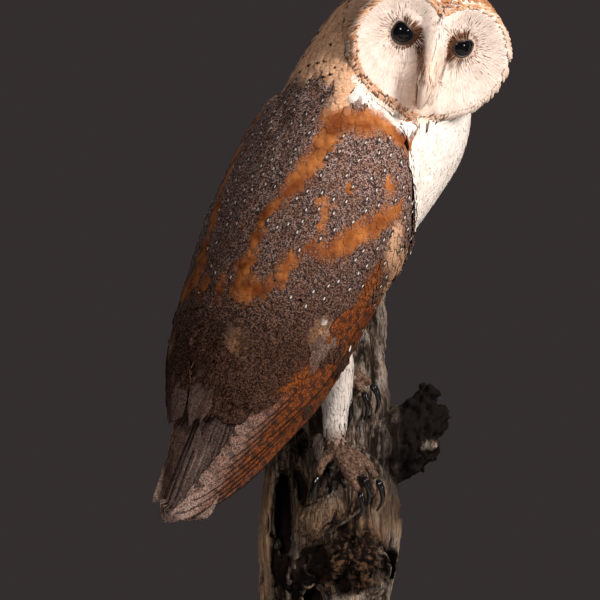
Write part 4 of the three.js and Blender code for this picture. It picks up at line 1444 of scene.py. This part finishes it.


# %% [markdown]
# Holes, rot, bark plates and pale strips are ovals on the front of the stump, each with a place and two half widths.
# Their edges are broken up by the same noise as the wood, so none looks drawn with a compass. Sculpting would do as
# well, but ovals can be read and moved. The pale strips are partly painted light on the lit edges of the stump.

# %% Name the features of the stump
def spot(cx, cz, wx, wz, lean=0.0, soft=0.35):
    """1 inside a leaning oval of the front, seen from before it."""
    dx, dz = x - cx - lean * (z - cz), z - cz
    size = np.sqrt((dx / wx) ** 2 + (dz / wz) ** 2) + 0.16 * rough
    return (1 - ramp(size, 1 - soft, 1 + soft)) * front


slit = spot(-25.5, 95, 5.6, 33, 0.03, 0.3)
cave = np.maximum(spot(-8, 76, 9, 13, 0.1, 0.3), spot(-14, 62, 8, 14, 0, 0.3))
nook = np.maximum(spot(8, 66, 5, 7), spot(34, 76, 5, 9))
window = spot(-15, 121, 4, 9, -0.15, 0.4)
burrow = np.maximum.reduce([slit, cave, nook, window])
rotten = np.maximum(spot(12, 78, 20, 22, 0.2), 0.8 * spot(-4, 58, 24, 12)) * (1 - burrow)
shade = ramp(x + 4 * rough, 22, 30) * ramp(z, 96, 108) * ramp(-z, -178, -166)
knob = spot(5, 105, 18, 11, 0.6)
branch = ramp(x, 38, 44) * ramp(z, 95, 102)
# tan wood where the bark is off, and painted light where the left edge catches the lamp
tan_and_lit_strip = spot(-35, 92, 5.5, 45, 0.02)
plate = spot(-12, 112, 11, 26, -0.1)
# pale grey wood, and painted light where the right side catches the key lamp
pale_and_lit_column = spot(33, 104, 6, 24)
rim = ramp(np.abs(np.hypot((x - 8) / 1.25, z - 80) - 23), 4.5, 1.5) * ramp(-z, -70, -62) * ramp(x, -2, 12) * front
rotten = rotten * (1 - rim)
for name, mask in (("holes", burrow), ("rot", rotten), ("charred branch", branch)):
    print(name, "cover", f"{(mask > 0.5).mean():.0%}", "of the wood")

# %% Carve the wood
push = 1.1 * (grain - 0.5) + 1.6 * lumps - 2.4 * splits + 3.0 * rough * np.maximum(branch, rotten) + 1.6 * rim
push += 2.2 * branch * billow(mm, 9, 61)
push -= 5.0 * rotten * ramp(rough, -0.2, 0.5)
points += normals * push[:, None] * MM * (0.4 + 0.6 * ramp(z, 22, 32))[:, None]
points[:, 1] += (9.5 * burrow) * MM
ragged = np.maximum(rotten, ramp(burrow, 0.1, 0.6)) * ramp(-z, -100, -88)
points[:, 0] += 3.2 * ragged * billow(mm, 7, 31) * MM
points[:, 2] += 4.0 * ragged * billow(mm, 7, 47) * MM
wood_mesh.vertices.foreach_set("co", points.ravel())
print("pushed by", round(float(push.min()), 1), "to", round(float(push.max()), 1), "mm")

# %% Tones of the wood, with painted light and shade
# painted light: the sideways-facing edges at the left and right of the stump are made pale
edge_on = ramp(-normals[:, 1], -0.4, 0.0)
lit_left_edge = ramp(-x - 1.5 * rough, 30.5, 33) * ramp(z, 52, 60) * ramp(-z, -137, -124) * edge_on
tan_and_lit_strip = np.maximum(tan_and_lit_strip, lit_left_edge)
lit_right_edge = ramp(x + 2 * rough, 30, 34) * ramp(z, 76, 84) * ramp(-z, -130, -116) * edge_on
pale_and_lit_column = np.maximum(pale_and_lit_column, lit_right_edge)
# the term that makes the right side lighter is painted light
light = 0.59 + 0.14 * ramp(z, 150, 180) + 1.0 * (grain - 0.55) + 0.2 * ramp(x, 24, 36)
light = light + 0.12 * lumps - 0.2 * knob - 0.25 * shade
# the pale strips, plate and rim, together with the painted light of the lit edges
pale_and_lit_wood = np.maximum.reduce([tan_and_lit_strip, 0.15 * plate, 0.9 * pale_and_lit_column * (0.4 + grain), 0.95 * rim])
light = np.where(tan_and_lit_strip + plate + pale_and_lit_column + rim < 0.05, light, 0.5 + 0.5 * pale_and_lit_wood)
broken = spot(56.5, 143, 4, 3.2, 0.4, 0.2)
light = np.maximum(light, 0.8 * broken)
# painted shade: the holes go to black and the cracks darker; the branch is darkened as char
light *= (1 - ramp(burrow, 0.25, 0.75)) * (1 - 0.75 * splits) * (1 - 0.9 * branch * (1 - broken))
warm = np.clip(0.25 + 0.6 * np.maximum.reduce([tan_and_lit_strip, plate, spot(20, 105, 24, 14)]) + 0.3 * lumps, 0, 1)
scorched = 0.85 * ramp(x + 5 * rough, 24, 36) * ramp(z, 88, 104) * ramp(-z, -186, -168)
char = np.maximum(branch, scorched) * (1 - broken)
put_colour(wood_mesh, "char", char[:, None])
put_colour(wood_mesh, "wood_tone", np.stack([light, warm, rotten * (1 - ramp(burrow, 0.3, 0.7))], 1))
wood_mesh.update()

# %% [markdown]
# The stump and its branch are two solids in the frame, so the carved wood is cut in two again at a plane between them,
# and both cuts are closed.

# %% Part the branch from the stump
BRANCH_CUT = 41
for name, keep, replaced in (("wood", -1, "stump"), ("branch", 1, "stump_branch")):
    half = bmesh.new()
    half.from_mesh(wood_mesh)
    everything = half.verts[:] + half.edges[:] + half.faces[:]
    bmesh.ops.bisect_plane(
        half, geom=everything, plane_co=(BRANCH_CUT * MM, 0, 0), plane_no=(-keep, 0, 0), clear_outer=True
    )
    bmesh.ops.holes_fill(half, edges=[e for e in half.edges if e.is_boundary])
    slot_name = "driftwood" if keep < 0 else "dark_bark"
    made = plain_piece(f"{name}_piece", half, (replaced,))
    dressed.append((made, slot_name))
    print(name, "faces:", len(made.data.polygons))

# %% [markdown]
# Every visible surface gets a finish made of nodes. A graph could be wired by hand in the shader editor, but a dozen
# graphs are easier to compare as text. A few short helpers add a node, mix two colours or read a stored colour.

# %% Helpers for finishes
finishes = {}


def finish(name):
    """The empty node tree of a new finish."""
    made = bpy.data.materials.new(f"{name}_finish")
    finishes[name] = made
    made.use_nodes = True
    made.node_tree.nodes.clear()
    return made.node_tree


def add(tree, kind, inputs=None, **settings):
    """A node with its settings; each input is a number, a colour or a socket to link."""
    node = tree.nodes.new(kind)
    for key, value in settings.items():
        setattr(node, key, value)
    for key, value in (inputs or {}).items():
        if isinstance(value, bpy.types.NodeSocket):
            tree.links.new(value, node.inputs[key])
        else:
            node.inputs[key].default_value = value
    return node


def channels(tree, name):
    """The three channels of a colour stored on the mesh."""
    stored = add(tree, "ShaderNodeAttribute", attribute_name=name).outputs["Color"]
    return add(tree, "ShaderNodeSeparateColor", {"Color": stored}).outputs


def mix(tree, factor, a, b):
    """A colour between two, where each may be a colour or a socket."""
    node = add(tree, "ShaderNodeMix", data_type="RGBA")
    for index, value in ((0, factor), (6, a), (7, b)):
        if isinstance(value, bpy.types.NodeSocket):
            tree.links.new(value, node.inputs[index])
        else:
            node.inputs[index].default_value = (*value, 1) if isinstance(value, tuple) else value
    return node.outputs[2]


def calculate(tree, operation, *values):
    """The result of one operation on sockets and numbers."""
    return add(tree, "ShaderNodeMath", dict(enumerate(values)), operation=operation).outputs[0]


def times(tree, a, b):
    return calculate(tree, "MULTIPLY", a, b)


def ramped(tree, value, low, high):
    """0 below low and 1 above high."""
    node = add(tree, "ShaderNodeMapRange", {"Value": value, "From Min": low, "From Max": high})
    return node.outputs["Result"]


def blend(tree, value, low, high, a, b):
    """Colour a where a value is below low, colour b where it is above high."""
    return mix(tree, ramped(tree, value, low, high), a, b)


def noise_of(tree, vector, scale, detail=2.0, distortion=0.0):
    """Noise at so many waves to the metre."""
    inputs = {"Vector": vector, "Scale": scale, "Detail": detail, "Distortion": distortion}
    return add(tree, "ShaderNodeTexNoise", inputs).outputs["Fac"]


def surface(tree, colour, roughness, bump=None, strength=0.3, **more):
    """The end of a graph: one shader with a colour, a roughness and maybe a bump."""
    inputs = {"Roughness": roughness, **more}
    inputs["Base Color"] = (*colour, 1) if isinstance(colour, tuple) else colour
    shader = add(tree, "ShaderNodeBsdfPrincipled", inputs)
    if bump is not None:
        bumped = add(tree, "ShaderNodeBump", {"Height": bump, "Strength": strength, "Distance": 0.0006})
        tree.links.new(bumped.outputs["Normal"], shader.inputs["Normal"])
    end = add(tree, "ShaderNodeOutputMaterial")
    tree.links.new(shader.outputs[0], end.inputs["Surface"])
    print("nodes in this finish:", len(tree.nodes))


# %% [markdown]
# The coat has one finish for all its soft pieces. The weights stored on each vane say how much grey, buff, orange,
# deep brown and pale grey it carries over cream. Each of these colours is itself speckled by noise. Grey, buff, orange
# and pale grey are darker on the lower half of the bird than on its head, as painted shade. The bare toes are part of
# it as well, with their scales as a bump.

# %% Finish of the coat
def mottled(tree, weight, fleck):
    """A weight whose border is broken up by flecks."""
    bent = calculate(tree, "SUBTRACT", fleck, 0.5)
    return ramped(tree, calculate(tree, "MULTIPLY_ADD", bent, 0.9, weight), 0.12, 0.95)


def plumage_finish():
    """Cream feathers, overlaid one after the other with the stored colours, with painted shade on the lower half of the
    bird.
    """
    tree = finish("plumage")
    grey, buff, orange = channels(tree, "ground")
    deep, pale, shade = channels(tree, "extra")
    bare = channels(tree, "vane_place")[2]
    here = add(tree, "ShaderNodeTexCoord").outputs["Object"]
    height = add(tree, "ShaderNodeSeparateXYZ", {0: here}).outputs["Z"]
    # painted shade: 1 below 0.2 m and 0 above 0.3 m, where grey, buff, orange and pale grey take their darker copies
    low = ramped(tree, height, 0.3, 0.2)
    fleck, soft = noise_of(tree, here, 900, 3), noise_of(tree, here, 160, 3)
    grain = ramped(tree, noise_of(tree, here, 1200, 3, 1.0), 0.46, 0.63)
    colour = blend(tree, soft, 0.35, 0.7, (0.71, 0.635, 0.58), (0.85, 0.775, 0.725))
    # grey: fine dark and pale grain, both darker below as painted shade
    dark_grain = blend(tree, soft, 0.35, 0.65, (0.013, 0.006, 0.005), (0.045, 0.018, 0.012))
    dark_grain = mix(tree, low, dark_grain, (0.01, 0.0045, 0.003))
    pale_grain = blend(tree, soft, 0.4, 0.65, (0.45, 0.31, 0.275), (0.36, 0.21, 0.16))
    pale_grain = mix(tree, low, pale_grain, (0.105, 0.05, 0.032))
    colour = mix(tree, grey, colour, mix(tree, grain, dark_grain, pale_grain))
    # buff, with a darker copy below as painted shade
    buff_tone = blend(tree, fleck, 0.4, 0.62, (0.62, 0.32, 0.18), (0.82, 0.53, 0.34))
    buff_in_shade = blend(tree, fleck, 0.4, 0.62, (0.1, 0.045, 0.02), (0.26, 0.14, 0.08))
    colour = mix(tree, buff, colour, mix(tree, low, buff_tone, buff_in_shade))
    # orange, with the grain showing through, and a darker copy below as painted shade
    glow = ramped(tree, noise_of(tree, here, 110, 3), 0.35, 0.68)
    orange_tone = mix(tree, glow, (0.2, 0.05, 0.011), (0.5, 0.18, 0.05))
    orange_in_shade = mix(tree, glow, (0.1, 0.022, 0.004), (0.3, 0.09, 0.015))
    orange = times(tree, mottled(tree, orange, fleck), ramped(tree, grain, -2.2, 0.5))
    colour = mix(tree, orange, colour, mix(tree, low, orange_tone, orange_in_shade))
    # deep brown
    deep_low = blend(tree, fleck, 0.4, 0.6, (0.06, 0.016, 0.004), (0.24, 0.065, 0.013))
    deep_tone = blend(tree, fleck, 0.4, 0.6, (0.05, 0.017, 0.008), (0.2, 0.075, 0.032))
    colour = mix(tree, deep, colour, mix(tree, low, deep_tone, deep_low))
    # pale grey, with a darker copy below as painted shade
    pale_tone = blend(tree, fleck, 0.35, 0.65, (0.09, 0.055, 0.043), (0.3, 0.2, 0.165))
    pale_in_shade = blend(tree, fleck, 0.35, 0.65, (0.05, 0.03, 0.024), (0.2, 0.13, 0.105))
    colour = mix(tree, pale, colour, mix(tree, low, pale_tone, pale_in_shade))
    # shade between feathers, and the darkest tips
    colour = mix(tree, times(tree, ramped(tree, shade, 0.3, 1.0), 0.12), colour, (0.05, 0.035, 0.03))
    colour = mix(tree, ramped(tree, shade, 1.2, 1.8), colour, (0.035, 0.014, 0.006))
    # toes and their scales
    toe = blend(tree, noise_of(tree, here, 420, 3), 0.35, 0.65, (0.05, 0.028, 0.019), (0.2, 0.12, 0.085))
    colour = mix(tree, bare, colour, toe)
    cells = add(tree, "ShaderNodeTexVoronoi", {"Vector": here, "Scale": 620}, feature="DISTANCE_TO_EDGE")
    scutes = ramped(tree, cells.outputs["Distance"], 0.0, 0.22)
    gaps = times(tree, times(tree, bare, 0.6), ramped(tree, scutes, 0.5, 0.0))
    colour = mix(tree, gaps, colour, (0.02, 0.011, 0.008))
    surface(tree, colour, 0.85, bump=times(tree, bare, scutes), strength=0.7, **{"Specular IOR Level": 0.04})


plumage_finish()

# %% [markdown]
# Stiff vanes are smoother and show dark bars and a dark edge. The bars are waves along the flat map of the vane, bent
# a little by noise, because a picture of bars would need a drawing. Pale vanes show them more weakly.

# %% Finish of the quills
def quill_finish():
    """Fine barbs and dark bars over orange-brown, greyer towards the tip."""
    tree = finish("quill")
    ground, extra, place = channels(tree, "ground"), channels(tree, "extra"), channels(tree, "vane_place")
    here = add(tree, "ShaderNodeTexCoord").outputs["Object"]
    flat = add(tree, "ShaderNodeUVMap", uv_map="vane").outputs[0]
    fleck = noise_of(tree, here, 1250, 3, 0.5)
    soft = noise_of(tree, here, 220, 2)
    colour = blend(tree, fleck, 0.42, 0.6, (0.03, 0.008, 0.003), (0.22, 0.055, 0.011))
    greys = blend(tree, fleck, 0.44, 0.6, (0.022, 0.012, 0.01), (0.15, 0.082, 0.058))
    pales = blend(tree, fleck, 0.4, 0.62, (0.08, 0.048, 0.037), (0.36, 0.24, 0.2))
    greyness = calculate(tree, "ADD", place[0], soft)
    colour = blend(tree, greyness, 1.2, 1.6, colour, greys)
    colour = mix(tree, ground[0], colour, greys)
    colour = mix(tree, extra[1], colour, pales)
    waves = {"Vector": flat, "Scale": 0.32, "Distortion": 1.6, "Detail": 2.0, "Detail Scale": 4.0}
    bars = add(tree, "ShaderNodeTexWave", waves, bands_direction="Y").outputs["Fac"]
    strong = calculate(tree, "SUBTRACT", 1.0, extra[1])
    bar = times(tree, ramped(tree, bars, 0.72, 0.9), calculate(tree, "MULTIPLY_ADD", strong, 0.55, 0.15))
    colour = mix(tree, bar, colour, (0.016, 0.009, 0.007))
    edge = ramped(tree, place[1], 0.85, 1.0)
    edge = times(tree, edge, calculate(tree, "MULTIPLY_ADD", strong, 0.65, 0.12))
    colour = mix(tree, edge, colour, (0.014, 0.008, 0.006))
    surface(tree, colour, 0.6, **{"Specular IOR Level": 0.12})


quill_finish()

# %% [markdown]
# Driftwood is grey outside, tan where its skin has come off, and dark crumbs where it rots. The carving step stored
# these as tones, together with painted light on the lit edges and painted shade in holes and cracks, and long thin
# noise gives the grain. Stump and branch share this finish; the branch is charred.

# %% Finish of the wood
def wood_finish(name):
    """Grained wood from dark to pale, with rot and char, as the stored tones say, with their painted light and shade.
    """
    tree = finish(name)
    light, warm, rotten = channels(tree, "wood_tone")
    here = add(tree, "ShaderNodeTexCoord").outputs["Object"]
    long_grain = add(tree, "ShaderNodeMapping", {"Vector": here, "Scale": (1, 1, 0.07)}).outputs[0]
    grain = noise_of(tree, long_grain, 950, 6, 1.4)
    coarse = noise_of(tree, here, 70, 4)
    grey_wood = blend(tree, grain, 0.42, 0.62, (0.035, 0.026, 0.021), (0.5, 0.375, 0.3))
    brown_wood = blend(tree, grain, 0.4, 0.64, (0.045, 0.022, 0.012), (0.46, 0.28, 0.165))
    colour = mix(tree, warm, grey_wood, brown_wood)
    # tan is bright, since it also carries the painted light of the lit left edge
    tan = blend(tree, grain, 0.36, 0.6, (0.5, 0.25, 0.12), (1.0, 0.66, 0.4))
    bleached = blend(tree, grain, 0.4, 0.62, (0.14, 0.125, 0.115), (0.66, 0.6, 0.56))
    tan = mix(tree, warm, bleached, tan)
    streak = noise_of(tree, long_grain, 240, 4, 0.8)
    colour = blend(tree, streak, 0.55, 0.38, colour, (0.02, 0.012, 0.008))
    # above one half, the light tone gives tan or bleached wood: partly the wood's own colour, partly painted light on
    # the lit edges
    colour = blend(tree, light, 0.5, 1.0, colour, tan)
    dark = blend(tree, coarse, 0.4, 0.7, (0.006, 0.004, 0.003), (0.045, 0.022, 0.014))
    # below one half it falls to near black: painted shade in holes and cracks, and the darkest grain
    colour = blend(tree, light, 0.5, 0.0, colour, dark)
    crumbs = noise_of(tree, here, 330, 4)
    crumbs = blend(tree, crumbs, 0.49, 0.66, (0.006, 0.003, 0.002), (0.24, 0.12, 0.062))
    colour = mix(tree, rotten, colour, crumbs)
    char = add(tree, "ShaderNodeAttribute", attribute_name="char").outputs["Fac"]
    colour = mix(tree, times(tree, char, 0.95), colour, (0.006, 0.0045, 0.004))
    surface(tree, colour, 0.9, bump=grain, strength=1.0, **{"Specular IOR Level": 0.05})


wood_finish("driftwood")
wood_finish("dark_bark")

# %% [markdown]
# Small even parts need only a colour and a gloss: pearls, lids, glass eyes, horn, the stand and the floor. Glass is
# smooth and nearly black, claws are polished, and the bill is matt. Every node of the frame then gets the finish of
# its slot, and every made piece its own.

# %% Plain finishes
def plain(name, colour, roughness, **more):
    surface(finish(name), colour, roughness, **more)


plain("pearl_white", (0.52, 0.45, 0.41), 0.85)
plain("pearl_black", (0.012, 0.008, 0.008), 0.8)
plain("lid_skin", (0.022, 0.01, 0.007), 0.5)
plain("eye_glass", (0.003, 0.003, 0.004), 0.03, **{"Specular IOR Level": 0.28})
plain("bill_horn", (0.6, 0.47, 0.39), 0.4)
plain("toe_skin", (0.3, 0.2, 0.16), 0.6)
plain("claw_horn", (0.006, 0.004, 0.004), 0.13)
plain("stand_wood", (0.07, 0.03, 0.014), 0.4)
plain("pale_floor", (0.55, 0.54, 0.52), 0.8)

slots = {row["node"]: row["material_slot"] for row in frame["record"]["subparts"]}
for name, node in nodes.items():
    node.data.materials.clear()
    node.data.materials.append(finishes[slots[name]])
for made in quills.values():
    made.data.materials.append(finishes["quill"])
white_pearls.data.materials.append(finishes["pearl_white"])
black_pearls.data.materials.append(finishes["pearl_black"])
for made, slot in dressed:
    made.data.materials.append(finishes[slot])
for made in bpy.data.objects:
    if made.type == "MESH" and made.name not in nodes and not made.data.materials:
        made.data.materials.append(finishes["plumage"])
print("finishes:", sorted(finishes))

# %% [markdown]
# A pale round floor under the stand catches its shadow. It belongs to the picture and not to the model.

# %% Floor
floor_bm = bmesh.new()
bmesh.ops.create_circle(floor_bm, cap_ends=True, segments=96, radius=0.42)
floor_mesh = bpy.data.meshes.new("floor")
floor_bm.to_mesh(floor_mesh)
floor_bm.free()
floor = new_object("floor", floor_mesh)
floor_mesh.materials.append(finishes["pale_floor"])
print("floor:", len(floor_mesh.vertices), "points")

# %% [markdown]
# The camera stands far off with a long lens, so the bird is seen nearly without perspective. A small warm lamp from
# the right models the breast, a weaker one fills from the front, one from behind draws the rim, and a last small one
# gives the second eye its highlight.

# %% Camera
WIDE = 600 / 1.8 * MM
DISTANCE = 3.2
LOOK = Vector(((300 - 327) / 1.8 * MM, -0.03, (703.6 - 300) / 1.8 * MM))
camera_data = bpy.data.cameras.new("camera")
camera_data.sensor_width = 36
camera_data.lens = 36 * DISTANCE / WIDE
camera = bpy.data.objects.new("camera", camera_data)
bpy.context.scene.collection.objects.link(camera)
camera.location = LOOK + Vector((0, -DISTANCE, 0))
camera.rotation_euler = (math.pi / 2, 0, 0)
camera_data.clip_start, camera_data.clip_end = 0.05, 50
bpy.context.scene.camera = camera
print("lens", round(camera_data.lens), "mm at", DISTANCE, "m")


# %% Lights
def soft_light(name, place, size, power, colour=(1, 1, 1)):
    """A round lamp of a size (m) and a power (W) that looks at the bird."""
    data = bpy.data.lights.new(name, "AREA")
    data.shape, data.size, data.energy, data.color = "DISK", size, power, colour
    lamp = bpy.data.objects.new(name, data)
    bpy.context.scene.collection.objects.link(lamp)
    lamp.location, lamp.visible_camera = place, False
    aim = Vector((0.0, 0, 0.26)) - Vector(place)
    lamp.rotation_euler = aim.to_track_quat("-Z", "Y").to_euler()


soft_light("key", (0.58, -0.5, 0.66), 0.3, 10.5, (1, 0.94, 0.88))
soft_light("fill", (-0.35, -1.7, 0.36), 0.3, 9, (1, 0.97, 0.95))
soft_light("rim", (-0.6, 1.4, 1.2), 0.8, 6, (1, 0.97, 0.94))
soft_light("catch", (1.05, -1.0, 0.1), 0.16, 2.6)
world = bpy.data.worlds.new("studio")
world.use_nodes = True
world.node_tree.nodes["Background"].inputs["Color"].default_value = (0.034, 0.0275, 0.0285, 1)
world.node_tree.nodes["Background"].inputs["Strength"].default_value = 1.0
bpy.context.scene.world = world
bpy.context.scene.view_settings.view_transform = "Standard"
print("lamps:", len(bpy.data.lights))
